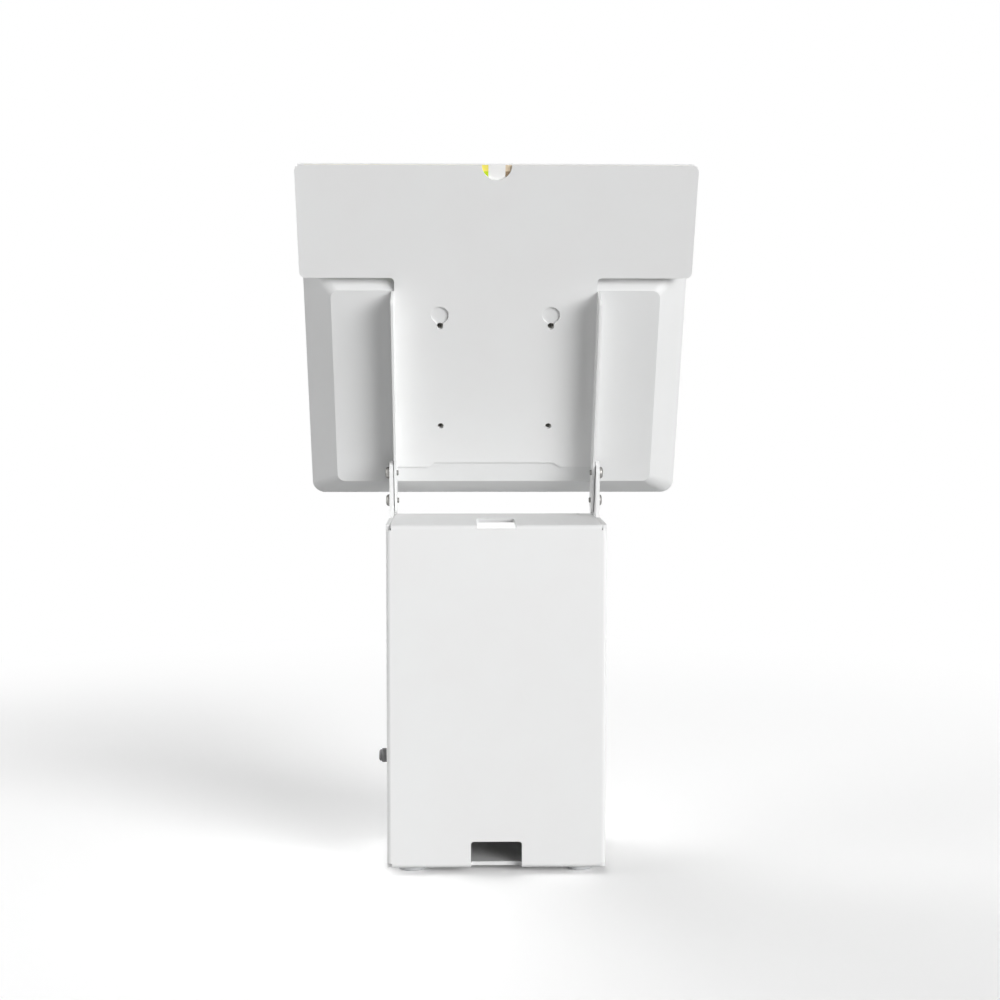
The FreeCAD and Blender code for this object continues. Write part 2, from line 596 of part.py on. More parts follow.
def make_lock_plug():
    """The part of the lock that the key turns."""
    body = new_lock_body("lock_plug")
    profile = new_sketch(body, "profile", "XY")
    shoulder = f"({SIDE} + Dim.lock_proud + Dim.plug_axial_play)"
    face = f"({SIDE} + Dim.lock_proud + Dim.plug_proud)"
    draw_polygon(profile, [
        (CAM_OUTER, "0"), (face, "0"), (face, "Dim.plug_face / 2"), (shoulder, "Dim.plug_face / 2"),
        (shoulder, "Dim.plug_diameter / 2"), (CAM_OUTER, "Dim.plug_diameter / 2")])
    revolve(body, profile)
    face_x = number(face)
    bevel_edges(body, "face_edge", "(Dim.plug_proud - Dim.plug_axial_play) / 2",
                lambda middle, edge: near(middle.x, face_x))
    slot = new_sketch(body, "key_slot", "YZ", face)
    draw_rectangle(slot, "-Dim.key_slot_length / 2", "Dim.key_slot_length / 2",
                   "-Dim.key_slot_width / 2", "Dim.key_slot_width / 2")
    cut(body, slot, "Dim.key_slot_depth")
    thread = new_sketch(body, "cam_thread", "YZ", CAM_OUTER)
    draw_circle(thread, "0", "0", "Dim.cam_screw_shank")
    cut(body, thread, "Dim.cam_screw_depth", reverse=True)
    return body


def make_lock_cam():
    """The cam points forward while the door is unlocked."""
    body = new_lock_body("lock_cam")
    outline = new_sketch(body, "outline", "YZ", CAM_OUTER)
    draw_rectangle(outline, "-Dim.cam_length", "Dim.cam_width / 2", "-Dim.cam_width / 2", "Dim.cam_width / 2")
    add_pad(body, outline, "Dim.cam_sheet", reverse=True)
    round_edges(body, "corners", "Dim.cam_width / 4", lambda middle, edge: runs_along(edge, "x"))
    hole = new_sketch(body, "hole", "YZ", CAM_OUTER)
    draw_circle(hole, "0", "0", "Dim.cam_screw_shank")
    cut(body, hole, "Dim.cam_sheet")
    return body


def make_cam_screw():
    body = new_lock_body("cam_screw")
    profile = new_sketch(body, "profile", "XY")
    head_end = f"({CAM_INNER} - Dim.cam_screw_rise)"
    shank_end = f"({CAM_OUTER} + Dim.cam_screw_depth)"
    draw_polygon(profile, [
        (head_end, "0"), (shank_end, "0"), (shank_end, "Dim.cam_screw_shank / 2"),
        (CAM_INNER, "Dim.cam_screw_shank / 2"), (CAM_INNER, "Dim.cam_screw_head / 2"),
        (head_end, "Dim.cam_screw_head / 2")])
    revolve(body, profile)
    return body


def make_front_door():
    """A flat panel with folded hinge tabs, a latch tab with a lip, and a pull notch."""
    body = new_body("front_door")
    hinge_edge = f"({HINGE_X} - Dim.hinge_inset)"
    lock_edge = f"({INNER_SIDE} - Dim.door_gap)"
    panel = new_sketch(body, "panel", "XZ", f"-{FRONT}")
    draw_rectangle(panel, hinge_edge, lock_edge, DOOR_BOTTOM, DOOR_TOP)
    add_pad(body, panel, "Dim.door_sheet", reverse=True)
    tab_bottoms = (DOOR_BOTTOM, f"({DOOR_TOP} - Dim.door_sheet)")
    for name, level in zip(("lower_tab", "upper_tab"), tab_bottoms):
        tab = new_sketch(body, name, "XY", level)
        draw_rectangle(tab, f"{HINGE_X} - Dim.tab_width / 2", f"{HINGE_X} + Dim.tab_width / 2",
                       f"{FRONT} + Dim.door_sheet / 2", f"{FRONT} + Dim.tab_depth")
        add_pad(body, tab, "Dim.door_sheet")
    tab_end = number(f"{FRONT} + Dim.tab_depth")
    round_edges(body, "tab_corners", "Dim.tab_depth / 4", lambda middle, edge: (
        runs_along(edge, "z") and near(middle.y, tab_end)))
    pins = new_sketch(body, "pin_holes", "XY")
    draw_circle(pins, HINGE_X, HINGE_Y, "Dim.pin_diameter + 2 * Dim.pin_play")
    cut_through(body, pins)

    latch_bottom = "(Dim.lock_height + Dim.cam_width / 2 + Dim.latch_clear)"
    latch_top = f"({latch_bottom} + Dim.latch_height)"
    latch_outer = f"({INNER_SIDE} - Dim.latch_inset)"
    lip_front = f"({LOCK_Y} + Dim.cam_width / 2 + Dim.latch_play)"
    latch = new_sketch(body, "latch_tab", "YZ", latch_outer)
    draw_rectangle(latch, f"{FRONT} + Dim.door_sheet / 2", f"{lip_front} + Dim.door_sheet",
                   latch_bottom, latch_top)
    add_pad(body, latch, "Dim.door_sheet", reverse=True)
    lip = new_sketch(body, "latch_lip", "XZ", f"-{lip_front}")
    draw_rectangle(lip, f"{CAM_INNER} - Dim.latch_overlap", f"{latch_outer} - Dim.door_sheet / 2",
                   latch_bottom, latch_top)
    add_pad(body, lip, "Dim.door_sheet", reverse=True)

    pull = new_sketch(body, "pull", "XZ", f"-{FRONT}")
    draw_rectangle(pull, "-Dim.pull_width / 2", "Dim.pull_width / 2", f"{DOOR_TOP} - Dim.pull_depth",
                   f"{DOOR_TOP} + Dim.pull_depth")
    cut(body, pull, "Dim.door_sheet")
    pull_side, pull_low = number("Dim.pull_width / 2"), number(f"{DOOR_TOP} - Dim.pull_depth")
    round_edges(body, "pull_corners", "Dim.pull_corner", lambda middle, edge: (
        runs_along(edge, "y") and near(abs(middle.x), pull_side) and near(middle.z, pull_low)))
    return body


def make_door_pins():
    """Two pins, flush with the outside of the floor and the top."""
    body = new_body("door_pins")
    reach = "(Dim.shell_sheet + Dim.door_gap + 2 * Dim.door_sheet)"
    for name, level in (("lower", "0"), ("upper", f"(Dim.base_height - {reach})")):
        pin = new_sketch(body, name, "XY", level)
        draw_circle(pin, HINGE_X, HINGE_Y, "Dim.pin_diameter")
        add_pad(body, pin, reach)
    return body


def make_door_washers():
    body = new_body("door_washers")
    for name, level in (("lower", "Dim.shell_sheet"), ("upper", f"({CEILING} - Dim.door_gap)")):
        ring = new_sketch(body, name, "XY", level)
        draw_circle(ring, HINGE_X, HINGE_Y, "Dim.door_washer")
        draw_circle(ring, HINGE_X, HINGE_Y, "Dim.pin_diameter")
        add_pad(body, ring, "Dim.door_gap")
    return body


def make_door_bumpers():
    body = new_body("door_bumpers")
    dots = new_sketch(body, "dots", "XZ", f"-({DOOR_BACK} + Dim.bumper_play)")
    for level in ("Dim.shell_sheet + Dim.stop_height / 2 + Dim.door_gap",
                  f"{CEILING} - Dim.stop_height / 2 - Dim.door_gap"):
        draw_circle(dots, "Dim.stop_offset", level, "Dim.bumper_diameter")
    add_pad(body, dots, "Dim.bumper_height", reverse=True)
    return body


def make_head_bracket():
    """The T-shaped back plate with its two flanges."""
    body = new_head_body("head_bracket")
    channel = new_sketch(body, "channel", "XY", "Dim.plate_bottom")
    half = [(FLANGE_OUT, PLATE_FRONT), (FLANGE_OUT, "Dim.flange_radius"),
            (FLANGE_IN, "Dim.flange_radius"), (FLANGE_IN, PLATE_REAR)]
    draw_polygon(channel, half + [(f"-{x}", y) for x, y in reversed(half)])
    add_pad(body, channel, "Dim.flange_top - Dim.plate_bottom")
    side, front = number(FLANGE_OUT), number(PLATE_FRONT)
    round_edges(body, "folds", "Dim.head_bend", lambda middle, edge: (
        runs_along(edge, "z") and near(abs(middle.x), side) and near(middle.y, front)))
    inner, plate_rear = number(FLANGE_IN), number(PLATE_REAR)
    round_edges(body, "inner_folds", "Dim.head_bend - Dim.head_sheet", lambda middle, edge: (
        runs_along(edge, "z") and near(abs(middle.x), inner) and near(middle.y, plate_rear)))

    header = new_sketch(body, "header", "XZ", f"-{PLATE_REAR}")
    neck = f"({FLANGE_OUT} - Dim.neck_inset)"
    half = [(neck, "Dim.flange_top"), (neck, "Dim.header_bottom"),
            (HEADER_SIDE, "Dim.header_bottom"), (HEADER_SIDE, HEADER_TOP)]
    draw_polygon(header, half + [(f"-{x}", y) for x, y in reversed(half)])
    add_pad(body, header, "Dim.head_sheet")
    step = new_sketch(body, "step", "XZ", f"-{PLATE_REAR}")
    half = [("(Dim.step_width / 2 + Dim.step_slope)", "Dim.plate_bottom"),
            ("(Dim.step_width / 2)", "Dim.plate_bottom + Dim.plate_step")]
    draw_polygon(step, half + [(f"-{x}", y) for x, y in reversed(half)])
    cut(body, step, "Dim.head_sheet", reverse=True)

    flange = new_sketch(body, "flange", "YZ", FLANGE_IN)
    draw_rectangle(flange, PLATE_FRONT, "Dim.flange_radius", "0", "Dim.plate_bottom")
    strip = add_pad(body, flange, "Dim.head_sheet")
    flange_end = new_sketch(body, "flange_end", "YZ", FLANGE_IN)
    draw_circle(flange_end, "0", "0", "2 * Dim.flange_radius")
    mirror(body, [strip, add_pad(body, flange_end, "Dim.head_sheet")])
    top, rear = number("Dim.flange_top"), number("Dim.flange_radius")
    round_edges(body, "flange_corners", "Dim.flange_corner", lambda middle, edge: (
        runs_along(edge, "x") and near(middle.y, rear) and near(middle.z, top)))
    header_side, neck_x = number(HEADER_SIDE), number(neck)
    round_edges(body, "header_corners", "Dim.header_corner", lambda middle, edge: (
        runs_along(edge, "y") and near(abs(middle.x), header_side)))
    shoulder = number("Dim.header_bottom")
    round_edges(body, "shoulder_corners", "Dim.shoulder_corner", lambda middle, edge: (
        runs_along(edge, "y") and near(abs(middle.x), neck_x) and near(middle.z, shoulder)))

    for name, level, diameter in (
            ("mounting_holes", "Dim.hole_bottom", "Dim.hole_diameter"),
            ("keyhole_ends", HOLE_TOP, "Dim.hole_diameter"),
            ("keyholes", f"{HOLE_TOP} + Dim.keyhole_rise", "Dim.keyhole_diameter")):
        holes = new_sketch(body, name, "XZ", f"-{PLATE_REAR}")
        for sign in ("-", ""):
            draw_circle(holes, f"{sign}Dim.hole_pitch / 2", level, diameter)
        cut(body, holes, "Dim.head_sheet", reverse=True)
    necks = new_sketch(body, "keyhole_necks", "XZ", f"-{PLATE_REAR}")
    for sign in ("-", ""):
        draw_rectangle(necks, f"{sign}Dim.hole_pitch / 2 - Dim.hole_diameter / 2",
                       f"{sign}Dim.hole_pitch / 2 + Dim.hole_diameter / 2",
                       HOLE_TOP, f"{HOLE_TOP} + Dim.keyhole_rise")
    cut(body, necks, "Dim.head_sheet", reverse=True)
    column, half_neck = number("Dim.hole_pitch / 2"), number("Dim.hole_diameter / 2")
    narrow, wide = number(HOLE_TOP), number(f"{HOLE_TOP} + Dim.keyhole_rise")
    round_edges(body, "keyhole_blends", "Dim.keyhole_blend", lambda middle, edge: (
        runs_along(edge, "y") and near(abs(abs(middle.x) - column), half_neck)
        and narrow + half_neck / 2 < middle.z < wide))
    notch = new_sketch(body, "finger_notch", "XZ", f"-{PLATE_REAR}")
    draw_circle(notch, "0", HEADER_TOP, "Dim.finger_notch")
    cut(body, notch, "Dim.head_sheet", reverse=True)
    threads = new_sketch(body, "threads", "YZ")
    draw_circle(threads, "0", "0", "Dim.screw_shank")
    draw_circle(threads, "0", "Dim.tilt_reach", "Dim.screw_shank")
    cut_through(body, threads)
    return body


def add_loft(body, kind, first, second):
    """A ruled loft from one sketch to another, added or taken away."""
    feature = body.newObject(f"PartDesign::{kind}", f"{first.Name}_loft")
    feature.Profile = first
    feature.Sections = [second]
    feature.Ruled = True
    DOCUMENT.recompute()
    return feature


def draw_housing_outline(sketch, inset, radius):
    """The housing's rounded rectangle, drawn in by an inset on every side."""
    draw_rounded_rectangle(sketch, f"{inset} - {HOUSING_SIDE}", f"{HOUSING_SIDE} - {inset}",
                           f"Dim.housing_bottom + {inset}", f"{HOUSING_TOP} - {inset}", radius)


def make_tablet_housing():
    """A shell with a flat back, four sloping sides and a straight rim, open to the front."""
    body = new_head_body("tablet_housing")
    knee = f"({PLATE_FRONT} - Dim.housing_chamfer)"
    back = new_sketch(body, "back", "XZ", f"-{PLATE_FRONT}")
    draw_housing_outline(back, "Dim.housing_chamfer", "Dim.back_corner")
    rim_start = new_sketch(body, "rim_start", "XZ", f"-{knee}")
    draw_housing_outline(rim_start, "0", "Dim.housing_corner")
    add_loft(body, "AdditiveLoft", back, rim_start)
    rim = new_sketch(body, "rim", "XZ", f"-{knee}")
    draw_housing_outline(rim, "0", "Dim.housing_corner")
    add_pad(body, rim, "Dim.housing_rim")

    before = body.Shape.Volume
    lean = "(Dim.housing_wall * (sqrt(2) - 1))"
    inner_knee = f"({knee} - {lean})"
    floor = new_sketch(body, "floor", "XZ", f"-({PLATE_FRONT} - Dim.housing_wall)")
    draw_housing_outline(floor, f"(Dim.housing_chamfer + {lean})", "Dim.back_corner - Dim.housing_wall")
    mouth = new_sketch(body, "mouth", "XZ", f"-{inner_knee}")
    draw_housing_outline(mouth, "Dim.housing_wall", "Dim.housing_corner - Dim.housing_wall")
    add_loft(body, "SubtractiveLoft", floor, mouth)
    expect_less(body, before, "hollow of the housing")
    bay = new_sketch(body, "bay", "XZ", f"-{inner_knee}")
    draw_housing_outline(bay, "Dim.housing_wall", "Dim.housing_corner - Dim.housing_wall")
    cut(body, bay, "Dim.housing_rim", reverse=True)

    posts = new_sketch(body, "posts", "XZ", f"-({PLATE_FRONT} - Dim.housing_wall / 2)")
    for x_sign in ("-", ""):
        for z_sign in ("-", "+"):
            draw_circle(posts, f"{x_sign}Dim.post_spacing_across / 2",
                        f"{HOUSING_MIDDLE} {z_sign} Dim.post_spacing_up / 2", "Dim.post_diameter")
    post_end = f"({TABLET_BACK} + Dim.pad_play + Dim.pad_thickness)"
    add_pad(body, posts, f"({PLATE_FRONT} - Dim.housing_wall / 2) - {post_end}")
    bosses = new_sketch(body, "bosses", "XZ", f"-({PLATE_FRONT} - Dim.housing_wall / 2)")
    entries = new_sketch(body, "entries", "XZ", f"-{PLATE_FRONT}")
    bores = new_sketch(body, "insert_bores", "XZ", f"-({PLATE_FRONT} - Dim.insert_sink)")
    for sign in ("-", ""):
        for level in ("Dim.hole_bottom", HOLE_TOP):
            x = f"{sign}Dim.hole_pitch / 2"
            draw_circle(bosses, x, level, "Dim.insert_diameter + 2 * Dim.boss_wall")
            draw_circle(entries, x, level, "Dim.hole_diameter")
            draw_circle(bores, x, level, "Dim.insert_diameter")
    add_pad(body, bosses, "Dim.insert_sink + Dim.insert_length - Dim.housing_wall / 2")
    cut(body, entries, "Dim.insert_sink", reverse=True)
    cut(body, bores, "Dim.insert_length", reverse=True)

    for name, level, reverse in (("lower", "Dim.housing_bottom", True), ("upper", HOUSING_TOP, False)):
        for part, diameter, depth in (
                ("shank", "Dim.bezel_screw_shank + 2 * Dim.bezel_screw_play", "Dim.housing_wall"),
                ("head", "Dim.bezel_screw_head + 2 * Dim.bezel_screw_play", "Dim.bezel_screw_rise")):
            screw_holes = new_sketch(body, f"{name}_{part}", "XY", level)
            for sign in ("-", ""):
                draw_circle(screw_holes, f"{sign}Dim.bezel_screw_spacing / 2",
                            f"{RIM_FRONT} + Dim.skirt_depth / 2", diameter)
            cut(body, screw_holes, depth, reverse)
    return body


def make_thread_inserts():
    body = new_head_body("thread_inserts")
    rings = new_sketch(body, "rings", "XZ", f"-({PLATE_FRONT} - Dim.insert_sink)")
    for sign in ("-", ""):
        for level in ("Dim.hole_bottom", HOLE_TOP):
            draw_circle(rings, f"{sign}Dim.hole_pitch / 2", level, "Dim.insert_diameter")
            draw_circle(rings, f"{sign}Dim.hole_pitch / 2", level, "Dim.insert_bore")
    add_pad(body, rings, "Dim.insert_length")
    return body


def make_front_bezel():
    """A frame in front of the tablet, with a skirt inside the housing's rim."""
    body = new_head_body("front_bezel")
    frame = new_sketch(body, "frame", "XZ", f"-{RIM_FRONT}")
    draw_housing_outline(frame, "0", "Dim.housing_corner")
    add_pad(body, frame, "Dim.bezel_sheet")
    skirt = new_sketch(body, "skirt", "XZ", f"-{RIM_FRONT}")
    outer = "(Dim.housing_wall + Dim.skirt_play)"
    draw_housing_outline(skirt, outer, f"Dim.housing_corner - {outer}")
    inner = f"({outer} + Dim.skirt_wall)"
    draw_housing_outline(skirt, inner, f"Dim.housing_corner - {inner}")
    add_pad(body, skirt, "Dim.skirt_depth", reverse=True)
    window = new_sketch(body, "window", "XZ", f"-{RIM_FRONT}")
    draw_rounded_rectangle(
        window, "-Dim.window_width / 2", "Dim.window_width / 2",
        f"{HOUSING_MIDDLE} - Dim.window_height / 2", f"{HOUSING_MIDDLE} + Dim.window_height / 2",
        "Dim.window_corner")
    cut(body, window, "Dim.bezel_sheet", reverse=True)
    face = number(f"{RIM_FRONT} - Dim.bezel_sheet")
    bevel_edges(body, "edges", "Dim.bezel_edge", lambda middle, edge: near(middle.y, face))
    for name, level, reverse in (("lower", "Dim.housing_bottom", True), ("upper", HOUSING_TOP, False)):
        screw_holes = new_sketch(body, f"{name}_threads", "XY", level)
        for sign in ("-", ""):
            draw_circle(screw_holes, f"{sign}Dim.bezel_screw_spacing / 2",
                        f"{RIM_FRONT} + Dim.skirt_depth / 2", "Dim.bezel_screw_shank")
        cut(body, screw_holes, f"{inner} + Dim.skirt_wall", reverse)
    return body


def make_bezel_screws():
    body = new_head_body("bezel_screws")
    tip = "(Dim.housing_wall + Dim.skirt_play + Dim.skirt_wall)"
    for name, level, reverse in (("lower", "Dim.housing_bottom", False), ("upper", HOUSING_TOP, True)):
        for part, diameter, length in (
                ("head", "Dim.bezel_screw_head", "Dim.bezel_screw_rise"),
                ("shank", "Dim.bezel_screw_shank", tip)):
            rounds = new_sketch(body, f"{name}_{part}", "XY", level)
            for sign in ("-", ""):
                draw_circle(rounds, f"{sign}Dim.bezel_screw_spacing / 2",
                            f"{RIM_FRONT} + Dim.skirt_depth / 2", diameter)
            add_pad(body, rounds, length, reverse)
    return body


def make_tablet_pads():
    body = new_head_body("tablet_pads")
    pads = new_sketch(body, "dots", "XZ", f"-({TABLET_BACK} + Dim.pad_play + Dim.pad_thickness)")
    for x_sign in ("-", ""):
        for z_sign in ("-", "+"):
            draw_circle(pads, f"{x_sign}Dim.post_spacing_across / 2",
                        f"{HOUSING_MIDDLE} {z_sign} Dim.post_spacing_up / 2", "Dim.post_diameter")
    add_pad(body, pads, "Dim.pad_thickness")
    return body


def make_header_spacer():
    """A strip round three sides of the header, open at the top for the card."""
    body = new_head_body("header_spacer")
    strip = new_sketch(body, "strip", "XZ", f"-{PLATE_FRONT}")
    inner_side = f"({HEADER_SIDE} - Dim.spacer_border)"
    ledge = "Dim.header_bottom + Dim.spacer_border"
    half = [(inner_side, ledge), (inner_side, HEADER_TOP), (HEADER_SIDE, HEADER_TOP),
            (HEADER_SIDE, "Dim.header_bottom")]
    draw_polygon(strip, half + [(f"-{x}", y) for x, y in reversed(half)])
    add_pad(body, strip, "Dim.spacer_sheet")
    side = number(HEADER_SIDE)
    round_edges(body, "corners", "Dim.header_corner", lambda middle, edge: (
        runs_along(edge, "y") and near(abs(middle.x), side)))
    return body


def make_header_cover():
    body = new_head_body("header_cover")
    pane = new_sketch(body, "pane", "XZ", f"-({PLATE_FRONT} - Dim.spacer_sheet)")
    draw_rounded_rectangle(pane, f"-{HEADER_SIDE}", HEADER_SIDE, "Dim.header_bottom", HEADER_TOP,
                           "Dim.header_corner")
    add_pad(body, pane, "Dim.cover_sheet")
    return body


def make_insert_card():
    """The card stands on the spacer's lower strip, in the middle of the pocket."""
    body = new_head_body("insert_card")
    card_rear = f"({PLATE_FRONT} - (Dim.spacer_sheet - Dim.card_sheet) / 2)"
    card = new_sketch(body, "card", "XZ", f"-{card_rear}")
    card_side = f"({HEADER_SIDE} - Dim.spacer_border - Dim.card_play)"
    draw_rectangle(card, f"-{card_side}", card_side, "Dim.header_bottom + Dim.spacer_border",
                   HEADER_TOP)
    add_pad(body, card, "Dim.card_sheet")
    return body


def draw_dome(sketch, base, height, radius):
    """Half the outline of a domed head on the sketch's x axis: a spherical cap on a flat base."""
    x0, rise, reach = number(base), number(height), number(radius)
    ball = (reach * reach + rise * rise) / (2 * rise)
    centre = Vector(x0 + rise - ball, 0, 0)
    edge_turn = math.asin(reach / ball)
    corners = [Vector(x0, 0, 0), Vector(x0 + rise, 0, 0), Vector(x0, reach, 0)]
    axis = sketch.addGeometry(Part.LineSegment(corners[0], corners[1]), False)
    cap = sketch.addGeometry(
        Part.ArcOfCircle(Part.Circle(centre, Vector(0, 0, 1), ball), 0, edge_turn), False)
    seat = sketch.addGeometry(Part.LineSegment(corners[2], corners[0]), False)
    for first, second in ((axis, cap), (cap, seat), (seat, axis)):
        sketch.addConstraint(Sketcher.Constraint("Coincident", first, 2, second, 1))
    place(sketch, axis, 1, base, "0")
    place(sketch, axis, 2, f"{base} + {height}", "0")
    place(sketch, seat, 1, base, radius)
    constrain(sketch, "DistanceY", cap, 3, "0")


def make_ear_screws(name, level):
    """A pair of domed screws, from outside the ears into the flanges' threads."""
    body = new_head_body(name)
    bind(body, "Placement.Base.y", f"{PIVOT_Y} + {level} * sin(Dim.head_tilt)")
    bind(body, "Placement.Base.z", f"Dim.foot_height + {PIVOT_Z} + {level} * cos(Dim.head_tilt)")
    shank = new_sketch(body, "shank", "YZ", f"({FLANGE_IN} - Dim.screw_end)")
    draw_circle(shank, "0", "0", "Dim.screw_shank")
    shaft = add_pad(body, shank, f"{SIDE} - {FLANGE_IN} + Dim.screw_end")
    head = new_sketch(body, "head", "XY")
    draw_dome(head, SIDE, "Dim.screw_dome", "Dim.screw_head / 2")
    mirror(body, [shaft, revolve(body, head)])
    return body


def make_tilt_washers():
    body = new_head_body("tilt_washers")
    rings = new_sketch(body, "rings", "YZ", FLANGE_OUT)
    for level in ("0", "Dim.tilt_reach"):
        draw_circle(rings, "0", level, "Dim.washer_diameter")
        draw_circle(rings, "0", level, "Dim.screw_shank")
    mirror(body, [add_pad(body, rings, "Dim.tilt_washer")])
    return body


def check_document():
    """Stops the build where an object has failed without raising an error."""
    for item in DOCUMENT.Objects:
        if "Invalid" in item.State or "Error" in item.State:
            raise RuntimeError(f"{item.Name} has failed: {item.State}")


def export(body):
    shape = body.Shape
    if shape.isNull() or not shape.isValid():
        raise RuntimeError(f"{body.Label} has no valid shape")
    shape.exportStep(os.path.join("parts", f"{body.Label}.step"))
    print(f"{body.Label}: {len(shape.Solids)} solids, {shape.Volume / 1000:.2f} cm3")


PIECES = [
    make_base_shell(),
    make_rubber_feet(),
    make_lock_body(),
    make_lock_nut(),
    make_door_pins(),
    make_door_washers(),
    make_door_bumpers(),
    make_front_door(),
    make_lock_plug(),
    make_lock_cam(),
    make_cam_screw(),
    make_head_bracket(),
    make_tablet_housing(),
    make_thread_inserts(),
    make_front_bezel(),
    make_bezel_screws(),
    make_tablet_pads(),
    make_header_spacer(),
    make_header_cover(),
    make_ear_screws("pivot_screws", "0"),
    make_ear_screws("tilt_screws", "Dim.tilt_reach"),
    make_tilt_washers(),
    make_insert_card(),
]

DOCUMENT.recompute()
check_document()
os.makedirs("parts", exist_ok=True)
for piece in PIECES:
    export(piece)
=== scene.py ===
import json
import math

import bmesh
import bpy
from mathutils import Matrix, Vector


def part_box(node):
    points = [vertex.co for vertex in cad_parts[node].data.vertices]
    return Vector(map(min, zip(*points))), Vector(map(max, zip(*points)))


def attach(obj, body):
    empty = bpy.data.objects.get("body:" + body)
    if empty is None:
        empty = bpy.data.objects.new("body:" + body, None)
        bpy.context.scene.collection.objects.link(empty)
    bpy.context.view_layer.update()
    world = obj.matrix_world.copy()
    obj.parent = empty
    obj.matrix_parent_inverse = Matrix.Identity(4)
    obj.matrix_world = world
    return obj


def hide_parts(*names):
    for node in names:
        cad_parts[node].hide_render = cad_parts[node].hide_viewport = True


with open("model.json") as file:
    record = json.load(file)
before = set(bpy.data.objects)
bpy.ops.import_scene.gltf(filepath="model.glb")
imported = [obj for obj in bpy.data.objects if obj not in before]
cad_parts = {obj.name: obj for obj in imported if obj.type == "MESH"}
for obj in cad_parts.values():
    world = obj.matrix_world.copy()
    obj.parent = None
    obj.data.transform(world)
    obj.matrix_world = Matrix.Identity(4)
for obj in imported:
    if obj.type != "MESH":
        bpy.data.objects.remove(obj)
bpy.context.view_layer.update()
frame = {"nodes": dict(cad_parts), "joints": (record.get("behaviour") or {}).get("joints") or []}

# The looks of a white tablet holder. Everything is in metres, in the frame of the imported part:
# +Z up, +Y to the rear, where the photograph was taken from.
MM = 0.001
MICROMETRE_DIGITS = 6
RIGHT = Vector((1, 0, 0))
REAR = Vector((0, 1, 0))
UP = Vector((0, 0, 1))
UPRIGHT_AXES = (RIGHT, REAR, UP)

# The head leans. Its card slides straight up the head, so that joint gives the head's own axes.
HEAD_UP = Vector(next(joint["axis"] for joint in frame["joints"] if joint["name"] == "card_slide"))
HEAD_UP.normalize()
HEAD_REAR = HEAD_UP.cross(RIGHT)
HEAD_AXES = (RIGHT, HEAD_REAR, HEAD_UP)


# Places on the CAD nodes

def corners_of(node):
    """All corner points of a CAD node."""
    return [vertex.co for vertex in frame["nodes"][node].data.vertices]


def solids(node):
    """The corner points of each separate solid of a CAD node. Corners are merged by micrometres."""
    places = {}
    merged = []
    for corner in corners_of(node):
        key = tuple(round(value, MICROMETRE_DIGITS) for value in corner)
        merged.append(places.setdefault(key, len(places)))
    leader = list(range(len(places)))

    def find(index):
        while leader[index] != index:
            index = leader[index]
        return index

    for face in frame["nodes"][node].data.polygons:
        first = find(merged[face.vertices[0]])
        for vertex in face.vertices[1:]:
            leader[find(merged[vertex])] = first
    groups = {}
    for key, index in places.items():
        groups.setdefault(find(index), []).append(Vector(key))
    return list(groups.values())


def reach(points, axis):
    """How far points lie along an axis: the nearest and the farthest."""
    along = [point.dot(axis) for point in points]
    return min(along), max(along)


def half_width(points, axis):
    """Half of what points measure along an axis."""
    low, high = reach(points, axis)
    return (high - low) / 2


def middle(points, axes=HEAD_AXES):
    """The middle of the box round some points. The box lies along the axes."""
    centre = Vector((0, 0, 0))
    for axis in axes:
        centre += axis * sum(reach(points, axis)) / 2
    return centre


def centre_line(points, axis, axes=HEAD_AXES):
    """The line along an axis through the middle of some points, given by its point nearest zero."""
    centre = middle(points, axes)
    return centre - axis * centre.dot(axis)


# Nodes of materials and of the world, which are both called owner here

# Sockets of the Mix node for colours, which share their names with its sockets for numbers.
MIX_FIRST = 6
MIX_SECOND = 7
MIX_RESULT = 2


def add_node(owner, kind, **settings):
    """Adds a node. A setting is one of the node's own, or the value of one of its sockets."""
    node = owner.node_tree.nodes.new(kind)
    for name, value in settings.items():
        if hasattr(node, name):
            setattr(node, name, value)
        else:
            node.inputs[name.replace("_", " ")].default_value = value
    return node


def link(owner, source, target):
    """Joins a node's output to another node's input."""
    owner.node_tree.links.new(source, target)


def calculate(owner, operation, *terms):
    """The output of a Math node. A term is a number or another node's output."""
    node = add_node(owner, "ShaderNodeMath", operation=operation)
    for socket, term in zip(node.inputs, terms):
        if isinstance(term, (int, float)):
            socket.default_value = term
        else:
            link(owner, term, socket)
    return node.outputs[0]


def along(owner, vector, axis):
    """How far a vector output reaches along an axis."""
    node = add_node(owner, "ShaderNodeVectorMath", operation="DOT_PRODUCT")
    link(owner, vector, node.inputs[0])
    node.inputs[1].default_value = axis
    return node.outputs["Value"]


def spread(owner, value, low, high, start=0.3, end=0.7):
    """Maps a value that runs from start to end onto a range. Smooth noise fills 0.3 to 0.7."""
    ranged = add_node(owner, "ShaderNodeMapRange", From_Min=start, From_Max=end, To_Min=low, To_Max=high)
    link(owner, value, ranged.inputs["Value"])
    return ranged.outputs["Result"]


def mix_colours(owner, share, first, second):
    """A colour between two. Each of them is a colour or another node's output."""
    mix = add_node(owner, "ShaderNodeMix", data_type="RGBA")
    link(owner, share, mix.inputs["Factor"])
    for number, colour in ((MIX_FIRST, first), (MIX_SECOND, second)):
        if isinstance(colour, tuple):
            mix.inputs[number].default_value = (*colour, 1)
        else:
            link(owner, colour, mix.inputs[number])
    return mix.outputs[MIX_RESULT]


def grey(level):
    """An opaque grey as a socket takes it."""
    return (level, level, level, 1)


# Patterns on a surface

def place_in_metres(material, stretch=(1, 1, 1)):
    """The point on the piece in metres, stretched along the axes."""
    coordinates = add_node(material, "ShaderNodeTexCoord")
    mapping = add_node(material, "ShaderNodeMapping", Scale=stretch)
    link(material, coordinates.outputs["Object"], mapping.inputs["Vector"])
    return mapping.outputs["Vector"]


